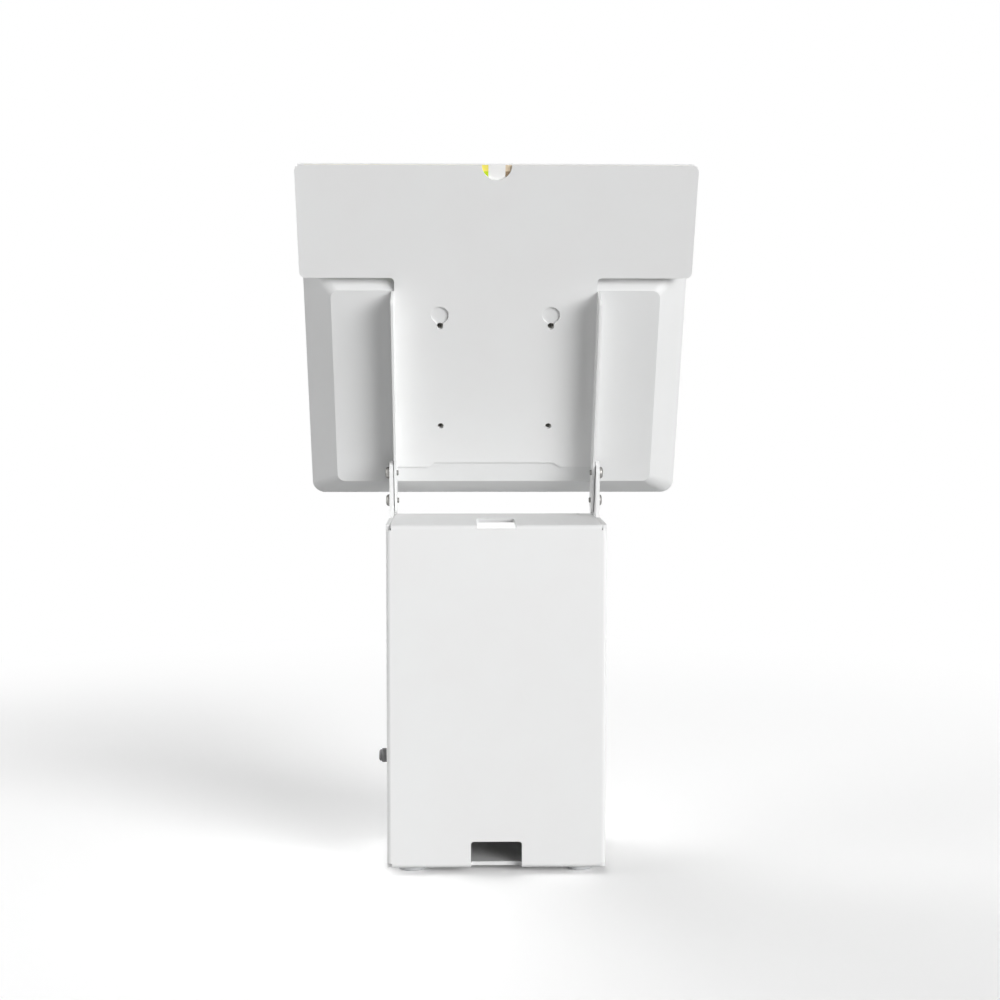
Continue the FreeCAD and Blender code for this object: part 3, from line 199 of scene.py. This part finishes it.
def noise(material, size, detail=2.0, stretch=(1, 1, 1)):
    """Smooth noise whose features are about the given size, in metres."""
    texture = add_node(material, "ShaderNodeTexNoise", Scale=1 / size, Detail=detail, Roughness=0.5)
    link(material, place_in_metres(material, stretch), texture.inputs["Vector"])
    return texture.outputs["Fac"]


def cells(material, size):
    """Cells of about the given size, in metres: the distance from the middle of each."""
    texture = add_node(material, "ShaderNodeTexVoronoi", Scale=1 / size)
    link(material, place_in_metres(material), texture.inputs["Vector"])
    return texture.outputs["Distance"]


def on_faces(material):
    """1 on the broad faces of a sheet that lies along the head, falling to 0 on its edges."""
    facing = add_node(material, "ShaderNodeNewGeometry").outputs["True Normal"]
    return calculate(material, "ABSOLUTE", along(material, facing, HEAD_REAR))


# Materials

def shader_of(material):
    """The material's Principled shader."""
    return material.node_tree.nodes["Principled BSDF"]


def new_material(name, **settings):
    """A Principled material. Underscores in the settings stand for the sockets' spaces."""
    material = bpy.data.materials.new(name)
    material.use_nodes = True
    for socket, value in settings.items():
        shader_of(material).inputs[socket.replace("_", " ")].default_value = value
    return material


def feed(material, socket, value):
    """Sends a value to one of the shader's sockets."""
    link(material, value, shader_of(material).inputs[socket])


def tint(material, pattern, first, second, start=0.3, end=0.7):
    """Colours the surface from one colour to another by a pattern."""
    share = spread(material, pattern, 0, 1, start, end)
    feed(material, "Base Color", mix_colours(material, share, first, second))


def rough(material, pattern, low, high):
    """Varies the roughness between two limits by a pattern."""
    feed(material, "Roughness", spread(material, pattern, low, high))


def bump(material, layers):
    """Stacks bumps, each a height value, its depth in metres and its strength."""
    normal = None
    for height, depth, strength in layers:
        node = add_node(material, "ShaderNodeBump", Distance=depth, Strength=strength)
        link(material, height, node.inputs["Height"])
        if normal:
            link(material, normal, node.inputs["Normal"])
        normal = node.outputs["Normal"]
    feed(material, "Normal", normal)


def make_powder_coat(name, level):
    """Satin white powder coat: a faint orange peel with a finer grain in it."""
    material = new_material(name, Specular_IOR_Level=0.2)
    cool = (level - 0.004, level + 0.002, level)
    warm = (level - 0.012, level - 0.012, level - 0.014)
    tint(material, noise(material, 35 * MM, detail=3), cool, warm)
    rough(material, noise(material, 9 * MM), 0.42, 0.52)
    orange_peel = noise(material, 1.1 * MM, detail=1)
    grain = noise(material, 0.25 * MM)
    bump(material, [(orange_peel, 0.03 * MM, 0.35), (grain, 0.01 * MM, 0.25)])
    return material


def make_moulded_plastic():
    """White moulded plastic with the fine spark-eroded texture of its mould."""
    material = new_material("moulded_plastic", Specular_IOR_Level=0.45)
    tint(material, noise(material, 50 * MM), (0.785, 0.79, 0.79), (0.77, 0.775, 0.773))
    rough(material, noise(material, 6 * MM), 0.5, 0.58)
    sparks = cells(material, 0.45 * MM)
    grain = noise(material, 0.2 * MM)
    bump(material, [(sparks, 0.02 * MM, 0.3), (grain, 0.01 * MM, 0.3)])
    return material


def make_zinc():
    """Zinc-plated steel, a little streaked by its blank."""
    material = new_material("zinc_plate", Metallic=1.0, Specular_Tint=grey(0.35))
    streaks = noise(material, 1.2 * MM, detail=4, stretch=(0.15, 1, 1))
    tint(material, streaks, (0.26, 0.255, 0.245), (0.36, 0.355, 0.34))
    rough(material, noise(material, 0.8 * MM, detail=3), 0.38, 0.5)
    bump(material, [(streaks, 0.01 * MM, 0.3)])
    return material


def make_dark_metal():
    """Dark nickel of the lock, turned, so that its fine rings run round the lock's axis."""
    material = new_material("dark_nickel", Metallic=0.85)
    rings = noise(material, 0.5 * MM, detail=3, stretch=(6, 0.4, 0.4))
    tint(material, rings, (0.12, 0.12, 0.125), (0.19, 0.19, 0.19))
    rough(material, noise(material, 1.5 * MM), 0.3, 0.42)
    bump(material, [(rings, 0.008 * MM, 0.4)])
    return material


def make_insert_metal():
    """Dull plated metal of the threaded inserts."""
    material = new_material("insert_metal", Metallic=1.0)
    cloud = noise(material, 1 * MM, detail=3)
    tint(material, cloud, (0.24, 0.235, 0.22), (0.33, 0.32, 0.30))
    rough(material, cloud, 0.3, 0.45)
    return material


def make_rubber(name, dark, light):
    """Matte rubber with a fine speckle."""
    material = new_material(name, Specular_IOR_Level=0.25)
    speckle = noise(material, 0.6 * MM, detail=4)
    tint(material, speckle, dark, light)
    rough(material, noise(material, 3 * MM), 0.62, 0.8)
    bump(material, [(speckle, 0.03 * MM, 0.4)])
    return material


def make_nylon():
    """Natural nylon: off-white and a little translucent."""
    material = new_material("natural_nylon", Subsurface_Weight=0.15, Subsurface_Scale=1 * MM)
    cloud = noise(material, 2 * MM, detail=3)
    tint(material, cloud, (0.82, 0.82, 0.78), (0.87, 0.87, 0.84))
    rough(material, cloud, 0.3, 0.42)
    return material


def make_foam():
    """Closed-cell foam: dark, matte, with open cells at its skin."""
    material = new_material("black_foam", Specular_IOR_Level=0.2, Sheen_Weight=0.25)
    pores = cells(material, 0.5 * MM)
    tint(material, pores, (0.05, 0.05, 0.055), (0.12, 0.12, 0.125), start=0, end=0.6)
    rough(material, noise(material, 2 * MM), 0.8, 0.95)
    bump(material, [(pores, 0.15 * MM, 0.7)])
    return material


def make_clear_acrylic():
    """Clear acrylic with a trace of polishing marks and frosted, sawn edges."""
    material = new_material("clear_acrylic", Base_Color=(0.985, 0.995, 0.995, 1), IOR=1.49)
    on_edge = 0.3
    on_face = 0.95
    faces = on_faces(material)
    feed(material, "Transmission Weight", spread(material, faces, 0.2, 1, on_edge, on_face))
    sawn = spread(material, faces, 0.4, 0, on_edge, on_face)
    polish = spread(material, noise(material, 20 * MM, detail=3), 0.01, 0.04)
    feed(material, "Roughness", calculate(material, "ADD", polish, sawn))
    bump(material, [(noise(material, 30 * MM), 0.02 * MM, 0.1)])
    return material


def make_spacer_plastic():
    """Smooth white plastic of the header's spacer."""
    material = new_material("spacer_plastic", Specular_IOR_Level=0.4)
    cloud = noise(material, 12 * MM, detail=3)
    tint(material, cloud, (0.86, 0.865, 0.865), (0.89, 0.89, 0.885))
    rough(material, cloud, 0.4, 0.52)
    bump(material, [(noise(material, 0.5 * MM), 0.01 * MM, 0.3)])
    return material


# The card: the colours of its two panels from the top edge down, its white, the height of a band,
# and half the width of the bare strip between the panels.
CARD_GREENS = [(0.96, 0.84, 0.15), (0.54, 0.72, 0.012), (0.74, 0.80, 0.22), (0.34, 0.54, 0.04)]
CARD_BROWNS = [(0.82, 0.68, 0.49), (0.39, 0.28, 0.17), (0.60, 0.45, 0.29), (0.86, 0.79, 0.66)]
CARD_WHITE = (0.95, 0.95, 0.94)
CARD_BAND = 4.4 * MM
CARD_GAP = 5.5 * MM


def bands(material, depth, colours):
    """Level bands that run through the colours in turn, by the depth below the card's top edge."""
    turns = calculate(material, "DIVIDE", depth, CARD_BAND * len(colours))
    ramp = add_node(material, "ShaderNodeValToRGB")
    ramp.color_ramp.interpolation = "CONSTANT"
    stops = ramp.color_ramp.elements
    while len(stops) < len(colours):
        stops.new(1)
    for index, colour in enumerate(colours):
        stops[index].position = index / len(colours)
        stops[index].color = (*colour, 1)
    link(material, calculate(material, "FRACT", turns), ramp.inputs["Fac"])
    return ramp.outputs["Color"]


def make_card_print():
    """A printed card: a plain panel of level bands on each side of a white middle."""
    material = new_material("card_print", Specular_IOR_Level=0.45, Coat_Weight=0.15, Coat_Roughness=0.2)
    top = reach(corners_of("insert_card"), HEAD_UP)[1]
    place = add_node(material, "ShaderNodeTexCoord").outputs["Object"]
    depth = calculate(material, "SUBTRACT", top, along(material, place, HEAD_UP))
    sideways = along(material, place, RIGHT)
    on_right = calculate(material, "GREATER_THAN", sideways, 0)
    browns = bands(material, depth, CARD_BROWNS)
    greens = bands(material, depth, CARD_GREENS)
    panels = mix_colours(material, on_right, browns, greens)
    beside_gap = calculate(material, "GREATER_THAN", calculate(material, "ABSOLUTE", sideways), CARD_GAP)
    on_face = calculate(material, "GREATER_THAN", on_faces(material), 0.9)
    inked = calculate(material, "MULTIPLY", beside_gap, on_face)
    feed(material, "Base Color", mix_colours(material, inked, CARD_WHITE, panels))
    rough(material, noise(material, 8 * MM), 0.32, 0.42)
    bump(material, [(noise(material, 0.3 * MM, detail=3), 0.01 * MM, 0.3)])
    return material


base_coat = make_powder_coat("powder_coat", 0.87)
# The head's coat is the base's powder coat with a slightly darker white. The darker white is painted shade on
# the head, whose back faces a little downward.
head_coat_painted_shade = make_powder_coat("powder_coat_head_painted_shade", 0.84)
moulded_plastic = make_moulded_plastic()
zinc = make_zinc()
dark_metal = make_dark_metal()
insert_metal = make_insert_metal()
foot_rubber = make_rubber("foot_rubber", (0.6, 0.61, 0.62), (0.7, 0.71, 0.72))
bumper_rubber = make_rubber("bumper_rubber", (0.03, 0.03, 0.03), (0.06, 0.06, 0.06))
nylon = make_nylon()
foam = make_foam()
clear_acrylic = make_clear_acrylic()
spacer_plastic = make_spacer_plastic()
card_print = make_card_print()


# Pieces that keep their CAD shape

# Corners closer than this are one. Angles are in degrees: faces that turn less than the flat one
# are one face, and edges that turn more than the blunt or the sharp one are rounded.
MERGE = 0.01 * MM
FLAT_ANGLE = 0.3
BLUNT_ANGLE = 35
SHARP_ANGLE = 60
SLOPE_SEGMENTS = 3


def make_smoother():
    """A node group that shades every face smooth, so that only rounded edges turn the light."""
    group = bpy.data.node_groups.new("smooth_faces", "GeometryNodeTree")
    group.interface.new_socket("Geometry", in_out="INPUT", socket_type="NodeSocketGeometry")
    group.interface.new_socket("Geometry", in_out="OUTPUT", socket_type="NodeSocketGeometry")
    start = group.nodes.new("NodeGroupInput")
    end = group.nodes.new("NodeGroupOutput")
    last = start.outputs[0]
    for domain in ("EDGE", "FACE"):
        smooth = group.nodes.new("GeometryNodeSetShadeSmooth")
        smooth.domain = domain
        group.links.new(last, smooth.inputs["Geometry"])
        last = smooth.outputs["Geometry"]
    group.links.new(last, end.inputs[0])
    return group


smoother_group = make_smoother()


def add_bevel(piece, width, segments, corner):
    """Rounds the edges that turn more than a corner, in degrees."""
    bevel = piece.modifiers.new("bevel", "BEVEL")
    bevel.width = width
    bevel.segments = segments
    bevel.limit_method = "ANGLE"
    bevel.angle_limit = math.radians(corner)


def dress(node, material, edge, segments=2, slopes=None):
    """Gives a CAD piece its material and rounded edges. Slopes is the rounding of blunt edges."""
    piece = frame["nodes"][node]
    piece.material_slots[0].material = material
    weld = piece.modifiers.new("weld", "WELD")
    weld.merge_threshold = MERGE
    flats = piece.modifiers.new("flats", "DECIMATE")
    flats.decimate_type = "DISSOLVE"
    flats.angle_limit = math.radians(FLAT_ANGLE)
    add_bevel(piece, edge, segments, SHARP_ANGLE if slopes else BLUNT_ANGLE)
    if slopes:
        add_bevel(piece, slopes, SLOPE_SEGMENTS, BLUNT_ANGLE)
    smoother = piece.modifiers.new("smooth", "NODES")
    smoother.node_group = smoother_group
    piece.modifiers.new("normals", "WEIGHTED_NORMAL")


dress("base_shell", base_coat, 0.3 * MM)
dress("front_door", base_coat, 0.25 * MM)
# The bracket gets the darker copy of the coat, which is painted shade.
dress("head_bracket", head_coat_painted_shade, 0.25 * MM)
dress("tablet_housing", moulded_plastic, 0.3 * MM, slopes=1.2 * MM)
dress("front_bezel", moulded_plastic, 0.25 * MM)
dress("header_spacer", spacer_plastic, 0.15 * MM)
dress("header_cover", clear_acrylic, 0.2 * MM)
dress("insert_card", card_print, 0.05 * MM, segments=1)
dress("lock_plug", dark_metal, 0.12 * MM)
dress("lock_nut", zinc, 0.3 * MM)
dress("lock_cam", zinc, 0.2 * MM)
dress("door_pins", zinc, 0.2 * MM)
dress("door_washers", nylon, 0.12 * MM)
dress("tilt_washers", nylon, 0.1 * MM)


# Rings of turned forms. A ring is a place along the axis and a radius, or the radius by the angle

def hexagon(across):
    """The radius of a hexagonal hole at each angle."""
    def radius(turn):
        return across / 2 / math.cos((turn + math.pi / 6) % (math.pi / 3) - math.pi / 6)
    return radius


def cross(length, width):
    """The radius of a cross-shaped recess at each angle."""
    def radius(turn):
        narrow = min(abs(math.sin(turn)), abs(math.cos(turn)))
        if narrow * length > width:
            return width / 2 / narrow
        return length / 2
    return radius


def helix(radius, depth, pitch, place):
    """The radius of a thread at one place along its axis, cut inwards from the radius."""
    def local(turn):
        phase = (place / pitch - turn / (2 * math.pi)) % 1
        return radius - depth * (1 - abs(2 * phase - 1))
    return local


def thread(start, end, radius, depth, pitch, steps=6):
    """Rings of a thread between two places along the axis."""
    count = max(2, round(abs(end - start) / pitch * steps))
    places = [start + (end - start) * index / count for index in range(count + 1)]
    return [(place, helix(radius, depth, pitch, place)) for place in places]


def rounded(place, radius, edge, steps=4):
    """Rings of a rounded outer edge that ends at a place along the axis."""
    rings = []
    for step in range(steps + 1):
        turn = math.pi / 2 * step / steps
        rings.append((place - edge * (1 - math.sin(turn)), radius - edge * (1 - math.cos(turn))))
    return rings


def cross_recess(face, length, width, depth):
    """Rings of a cross recess that narrows to its bottom."""
    bottom_length = 0.45 * length
    bottom_width = 0.6 * width
    return [(face, cross(length, width)), (face - depth, cross(bottom_length, bottom_width))]


# Turned pieces

def turn_form(mesh, rings, centre, axis, sides, hollow=False):
    """Adds a turned form to a mesh, round a line along the axis through the centre."""
    first = axis.orthogonal().normalized()
    second = axis.cross(first)
    loops = []
    for place, radius in rings:
        loop = []
        for step in range(sides):
            turn = 2 * math.pi * step / sides
            far = radius(turn) if callable(radius) else radius
            out = first * math.cos(turn) + second * math.sin(turn)
            loop.append(mesh.verts.new(centre + axis * place + out * far))
        loops.append(loop)
    pairs = list(zip(loops, loops[1:]))
    if hollow:
        pairs.append((loops[-1], loops[0]))
    else:
        mesh.faces.new(list(reversed(loops[0])))
        mesh.faces.new(loops[-1])
    for near, far in pairs:
        for step in range(sides):
            after = (step + 1) % sides
            mesh.faces.new((near[step], near[after], far[after], far[step]))


def new_piece(name, mesh, material, body, node, crease=40):
    """Makes a mesh a piece that rides on a body and stands for a CAD node.

    Edges that turn more than the crease, in degrees, stay sharp."""
    bmesh.ops.recalc_face_normals(mesh, faces=mesh.faces)
    for face in mesh.faces:
        face.smooth = True
    for edge in mesh.edges:
        edge.smooth = edge.calc_face_angle(0) < math.radians(crease)
    data = bpy.data.meshes.new(name)
    mesh.to_mesh(data)
    mesh.free()
    data.materials.append(material)
    piece = bpy.data.objects.new(name, data)
    bpy.context.scene.collection.objects.link(piece)
    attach(piece, body)
    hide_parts(node)
    return piece


def make_ear_screws(name, node):
    """Domed screws with a hexagon socket, from outside the ears into the flanges."""
    # The heads stand this much higher than the plain solids, as the photograph shows them.
    extra_height = 0.9 * MM
    shank = 2 * MM
    pitch = 0.7 * MM
    thread_depth = 0.3 * MM
    tip_taper = 0.5 * MM
    tip_rim = 0.42 * MM
    thread_start = 0.3 * MM
    thread_end = 1.2 * MM
    bare_shank = 1 * MM
    rim_inset = 0.15 * MM
    rim_height = 0.12 * MM
    dome_steps = 8
    chamfer = 0.1 * MM
    socket = 2.5 * MM
    socket_depth = 1.4 * MM
    drill_depth = 1.8 * MM
    drill_end = 0.3 * MM
    flat = 0.78 * socket
    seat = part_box("base_shell")[1].x
    mesh = bmesh.new()
    for points in solids(node):
        axis = Vector((1 if points[0].x > 0 else -1, 0, 0))
        tip, crown = reach(points, axis)
        crown += extra_height
        head = half_width(points, UP)
        side_wall = 0.4 * (crown - seat)
        dome = crown - seat - side_wall
        rings = [(tip, shank - tip_taper), (tip + chamfer, shank - tip_rim)]
        rings += thread(tip + thread_start, seat - thread_end, shank, thread_depth, pitch)
        rings += [(seat - bare_shank, shank), (seat, shank), (seat, head - rim_inset)]
        rings += [(seat + rim_height, head), (seat + side_wall, head)]
        for step in range(1, dome_steps):
            turn = math.pi / 2 * step / dome_steps
            rings.append((seat + side_wall + dome * math.sin(turn), flat + (head - flat) * math.cos(turn)))
        rings += [(crown, flat), (crown - chamfer, hexagon(socket + chamfer))]
        rings += [(crown - 2 * chamfer, hexagon(socket)), (crown - socket_depth, hexagon(socket))]
        rings += [(crown - drill_depth, drill_end)]
        turn_form(mesh, rings, centre_line(points, axis), axis, sides=96)
    new_piece(name, mesh, zinc, "head", node)


def make_bezel_screws():
    """Flat screws with a cross recess, sunk in the housing's rim."""
    shank = 1.5 * MM
    pitch = 0.5 * MM
    thread_depth = 0.22 * MM
    tip_taper = 0.4 * MM
    thread_start = 0.2 * MM
    head_height = 1.6 * MM
    chamfer = 0.1 * MM
    head_edge = 0.35 * MM
    housing_middle = middle(corners_of("tablet_housing"))
    mesh = bmesh.new()
    for points in solids("bezel_screws"):
        above = (middle(points) - housing_middle).dot(HEAD_UP) > 0
        axis = HEAD_UP if above else -HEAD_UP
        tip, face = reach(points, axis)
        seat = face - head_height
        head = half_width(points, RIGHT)
        rings = [(tip, shank - tip_taper)]
        rings += thread(tip + thread_start, seat, shank, thread_depth, pitch)
        rings += [(seat, head - chamfer), (seat + chamfer, head)]
        rings += rounded(face, head, head_edge)
        rings += cross_recess(face, length=3.2 * MM, width=0.8 * MM, depth=1.1 * MM)
        turn_form(mesh, rings, centre_line(points, axis), axis, sides=96)
    new_piece("bezel_screw_set", mesh, zinc, "head", "bezel_screws")


def make_cam_screw():
    """The screw that holds the lock's cam: a domed head with a cross recess."""
    shank = 1.25 * MM
    pitch = 0.45 * MM
    thread_depth = 0.2 * MM
    tip_taper = 0.3 * MM
    thread_start = 0.2 * MM
    head_height = 1.6 * MM
    head_edge = 0.9 * MM
    points = solids("cam_screw")[0]
    axis = -RIGHT
    tip, face = reach(points, axis)
    seat = face - head_height
    head = half_width(points, UP)
    rings = [(tip, shank - tip_taper)]
    rings += thread(tip + thread_start, seat, shank, thread_depth, pitch)
    rings += [(seat, head)]
    rings += rounded(face, head, head_edge, steps=6)
    rings += cross_recess(face, length=2.9 * MM, width=0.7 * MM, depth=1 * MM)
    mesh = bmesh.new()
    turn_form(mesh, rings, centre_line(points, axis), axis, sides=96)
    new_piece("cam_pan_screw", mesh, zinc, "lock", "cam_screw")


def make_lock_body():
    """The lock's collar and its threaded barrel, bored for the plug."""
    barrel = 4 * MM
    bore = 2.76 * MM
    pitch = 0.75 * MM
    thread_depth = 0.35 * MM
    end_taper = 0.5 * MM
    thread_start = 0.4 * MM
    thread_end = 0.1 * MM
    collar_chamfer = 0.3 * MM
    groove_half = 0.2 * MM
    groove_depth = 0.15 * MM
    face_edge = 0.7 * MM
    points = solids("lock_body")[0]
    inner_end, face = reach(points, RIGHT)
    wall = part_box("base_shell")[1].x
    nut_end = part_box("lock_nut")[0].x
    collar = half_width(points, UP)
    groove = (wall + face) / 2
    rings = [(inner_end, bore), (inner_end, barrel - end_taper)]
    rings += thread(inner_end + thread_start, nut_end - thread_end, barrel, thread_depth, pitch)
    rings += [(nut_end, barrel), (wall, barrel)]
    rings += [(wall, collar - collar_chamfer), (wall + collar_chamfer, collar)]
    rings += [(groove - groove_half, collar), (groove, collar - groove_depth), (groove + groove_half, collar)]
    rings += rounded(face, collar, face_edge)
    rings += [(face, bore)]
    mesh = bmesh.new()
    turn_form(mesh, rings, centre_line(points, RIGHT), RIGHT, sides=96, hollow=True)
    new_piece("lock_barrel", mesh, dark_metal, "base", "lock_body")


def make_inserts():
    """Knurled inserts with a thread inside, pressed into the housing's bosses."""
    outer = 3 * MM
    chamfer = 0.3 * MM
    teeth = 30
    tooth = 0.12 * MM
    bore = 1.7 * MM
    pitch = 0.7 * MM
    thread_depth = 0.3 * MM
    thread_inset = 0.2 * MM
    root = bore + thread_depth

    def knurl(turn):
        return outer - tooth * (0.5 + 0.5 * math.cos(teeth * turn))

    mesh = bmesh.new()
    for points in solids("thread_inserts"):
        near, far = reach(points, HEAD_REAR)
        rings = [(near, outer - chamfer), (near + chamfer, knurl)]
        rings += [(far - chamfer, knurl), (far, outer - chamfer), (far, root)]
        rings += thread(far - thread_inset, near + thread_inset, root, thread_depth, pitch)
        rings += [(near, root)]
        turn_form(mesh, rings, centre_line(points, HEAD_REAR), HEAD_REAR, sides=120, hollow=True)
    new_piece("insert_set", mesh, insert_metal, "head", "thread_inserts")


def make_pads():
    """Foam dots that cushion the tablet's back: a drawn-in side and a soft crown."""
    foot_inset = 0.15 * MM
    foot_height = 0.2 * MM
    waist_inset = 0.12 * MM
    waist_height = 0.7 * MM
    shoulder_inset = 0.02 * MM
    edge = 0.6 * MM
    crown = 0.1 * MM
    mesh = bmesh.new()
    for points in solids("tablet_pads"):
        near, far = reach(points, -HEAD_REAR)
        radius = half_width(points, RIGHT)
        rings = [(near, radius - foot_inset), (near + foot_height, radius)]
        rings += [(near + waist_height, radius - waist_inset)]
        rings += rounded(far - crown, radius - shoulder_inset, edge, steps=6)
        for share in (0.8, 0.6, 0.4, 0.2, 0.03):
            rings.append((far - crown * share * share, radius * share))
        turn_form(mesh, rings, centre_line(points, -HEAD_REAR), -HEAD_REAR, sides=72)
    piece = new_piece("foam_dots", mesh, foam, "head", "tablet_pads", crease=60)


def make_bumpers():
    """Domed rubber dots on the stop tabs."""
    edge = 1.3 * MM
    flat = 1 * MM
    mesh = bmesh.new()
    for points in solids("door_bumpers"):
        near, far = reach(points, -REAR)
        radius = half_width(points, UP)
        rings = [(near, radius)]
        rings += rounded(far, radius, edge, steps=8)
        rings += [(far, flat)]
        turn_form(mesh, rings, centre_line(points, -REAR, UPRIGHT_AXES), -REAR, sides=48)
    new_piece("bumper_dots", mesh, bumper_rubber, "base", "door_bumpers")


def make_feet():
    """Round rubber feet with a soft lower edge and a moulded recess underneath."""
    chamfer = 0.2 * MM
    edge = 1.1 * MM
    recess_mouth = 3.6 * MM
    recess_lip = 0.3 * MM
    recess_throat = 3.3 * MM
    recess_floor = 3.2 * MM
    recess_depth = 2 * MM
    last_ring = 0.2 * MM
    mesh = bmesh.new()
    for points in solids("rubber_feet"):
        near, far = reach(points, -UP)
        radius = half_width(points, RIGHT)
        rings = [(near, radius - chamfer), (near + chamfer, radius)]
        rings += rounded(far, radius, edge, steps=6)
        rings += [(far, recess_mouth), (far - recess_lip, recess_throat)]
        rings += [(far - recess_depth, recess_floor), (far - recess_depth, last_ring)]
        turn_form(mesh, rings, centre_line(points, -UP, UPRIGHT_AXES), -UP, sides=64)
    new_piece("foot_set", mesh, foot_rubber, "base", "rubber_feet")


make_ear_screws("pivot_screw_pair", "pivot_screws")
make_ear_screws("tilt_screw_pair", "tilt_screws")
make_bezel_screws()
make_cam_screw()
make_lock_body()
make_inserts()
make_pads()
make_bumpers()
make_feet()


# Floor and light

# The floor. It is brighter than white where the camera sees it, so that its lit parts are white and
# its shadows stay. Between the two distances of the fade, in metres, it turns to plain white. The
# bounce is the floor's colour for the light that it throws back on the object.
FLOOR_REACH = 8
FLOOR_WHITE = 1.45
FLOOR_GLOW = 0.02
FLOOR_FADE = (0.45, 1.0)
FLOOR_BOUNCE = 0.4
# The strength of the light from all round: from the sides and below, and from straight above.
SKY_LOW = 0.32
SKY_HIGH = 0.03
# Each lamp's name, direction from the object to the light, strength, and width in degrees.
SUNS = [
    ("key", (-0.62, 0.76, 0.22), 0.67, 36),
    ("side", (-0.74, 0.66, 0.08), 0.41, 36),
    ("fill", (0.92, 0.1, 0.2), 0.44, 60),
    ("front", (0.62, -0.72, 0.34), 0.6, 60),
]


def seen_directly(owner):
    """1 for rays of the camera, of reflections and of glass, which see the white background."""
    path = add_node(owner, "ShaderNodeLightPath")
    total = path.outputs["Is Camera Ray"]
    for name in ("Is Glossy Ray", "Is Transmission Ray"):
        total = calculate(owner, "MAXIMUM", total, path.outputs[name])
    return total


def mix_shaders(owner, share, first, second):
    """A shader between two."""
    mix = add_node(owner, "ShaderNodeMixShader")
    link(owner, share, mix.inputs["Fac"])
    link(owner, first, mix.inputs[1])
    link(owner, second, mix.inputs[2])
    return mix.outputs[0]


def make_floor_material():
    """A material that keeps the shadows near the object and is plain white far from it."""
    material = bpy.data.materials.new("floor")
    material.use_nodes = True
    material.node_tree.nodes.clear()
    near = add_node(material, "ShaderNodeAddShader")
    lit = add_node(material, "ShaderNodeBsdfDiffuse", Color=grey(FLOOR_WHITE))
    glow = add_node(material, "ShaderNodeEmission", Strength=FLOOR_GLOW)
    link(material, lit.outputs[0], near.inputs[0])
    link(material, glow.outputs[0], near.inputs[1])
    white = add_node(material, "ShaderNodeEmission")
    place = add_node(material, "ShaderNodeTexCoord")
    distance = add_node(material, "ShaderNodeVectorMath", operation="LENGTH")
    link(material, place.outputs["Object"], distance.inputs[0])
    fade = add_node(material, "ShaderNodeMapRange", interpolation_type="SMOOTHSTEP",
                    From_Min=FLOOR_FADE[0], From_Max=FLOOR_FADE[1])
    link(material, distance.outputs["Value"], fade.inputs["Value"])
    seen = mix_shaders(material, fade.outputs["Result"], near.outputs[0], white.outputs[0])
    bounce = add_node(material, "ShaderNodeBsdfDiffuse", Color=grey(FLOOR_BOUNCE))
    surface = mix_shaders(material, seen_directly(material), bounce.outputs[0], seen)
    output = add_node(material, "ShaderNodeOutputMaterial")
    link(material, surface, output.inputs["Surface"])
    return material


def make_floor():
    """A pale floor. The camera sees its lit parts as white and keeps the shadows."""
    low, high = -FLOOR_REACH, FLOOR_REACH
    mesh = bpy.data.meshes.new("floor")
    mesh.from_pydata([(low, low, 0), (high, low, 0), (high, high, 0), (low, high, 0)], [], [(0, 1, 2, 3)])
    mesh.materials.append(make_floor_material())
    floor = bpy.data.objects.new("floor", mesh)
    bpy.context.scene.collection.objects.link(floor)


def make_world():
    """Soft light from all round, less from above, in front of a white background."""
    world = bpy.data.worlds.new("studio")
    bpy.context.scene.world = world
    world.use_nodes = True
    background = world.node_tree.nodes["Background"]
    background.inputs["Color"].default_value = grey(1)
    direction = add_node(world, "ShaderNodeTexCoord")
    height = along(world, direction.outputs["Generated"], UP)
    strength = add_node(world, "ShaderNodeMapRange", To_Max=1)
    link(world, spread(world, height, SKY_LOW, SKY_HIGH, start=0, end=1), strength.inputs["To Min"])
    link(world, seen_directly(world), strength.inputs["Value"])
    link(world, strength.outputs["Result"], background.inputs["Strength"])


def make_sun(name, towards, strength, width):
    """A lamp as wide and soft as a large panel. Towards is the direction to it."""
    lamp = bpy.data.lights.new(name, "SUN")
    lamp.energy = strength * math.pi
    lamp.angle = math.radians(width)
    sun = bpy.data.objects.new(name, lamp)
    sun.rotation_euler = Vector(towards).to_track_quat("Z", "Y").to_euler()
    bpy.context.scene.collection.objects.link(sun)


# Camera

# The camera that was fitted to the photograph: its place in metres, its turns in degrees to its
# left, down and about its own axis, and its lens and sensor in millimetres.
CAMERA_PLACE = (0.0242, 1.1797, 0.3328)
CAMERA_TURNS = (-1.336, 4.152, 0.042)
CAMERA_LENS = 62.125
CAMERA_SENSOR = 36
CAMERA_CLIP = (0.05, 50)


def make_camera():
    """The photograph's camera: behind the holder and a little above its base."""
    yaw, pitch, roll = (math.radians(angle) for angle in CAMERA_TURNS)
    ahead = Vector((math.sin(yaw) * math.cos(pitch), -math.cos(yaw) * math.cos(pitch), -math.sin(pitch)))
    right = ahead.cross(UP).normalized()
    up = right.cross(ahead)
    turned_right = right * math.cos(roll) + up * math.sin(roll)
    turned_up = up * math.cos(roll) - right * math.sin(roll)
    axes = Matrix((turned_right, turned_up, -ahead)).transposed()
    camera = bpy.data.objects.new("camera", bpy.data.cameras.new("camera"))
    camera.matrix_world = Matrix.Translation(CAMERA_PLACE) @ axes.to_4x4()
    camera.data.sensor_fit = "HORIZONTAL"
    camera.data.sensor_width = CAMERA_SENSOR
    camera.data.lens = CAMERA_LENS
    camera.data.clip_start, camera.data.clip_end = CAMERA_CLIP
    bpy.context.scene.collection.objects.link(camera)
    bpy.context.scene.camera = camera


make_floor()
make_world()
for sun in SUNS:
    make_sun(*sun)
make_camera()
bpy.context.scene.view_settings.view_transform = "Standard"
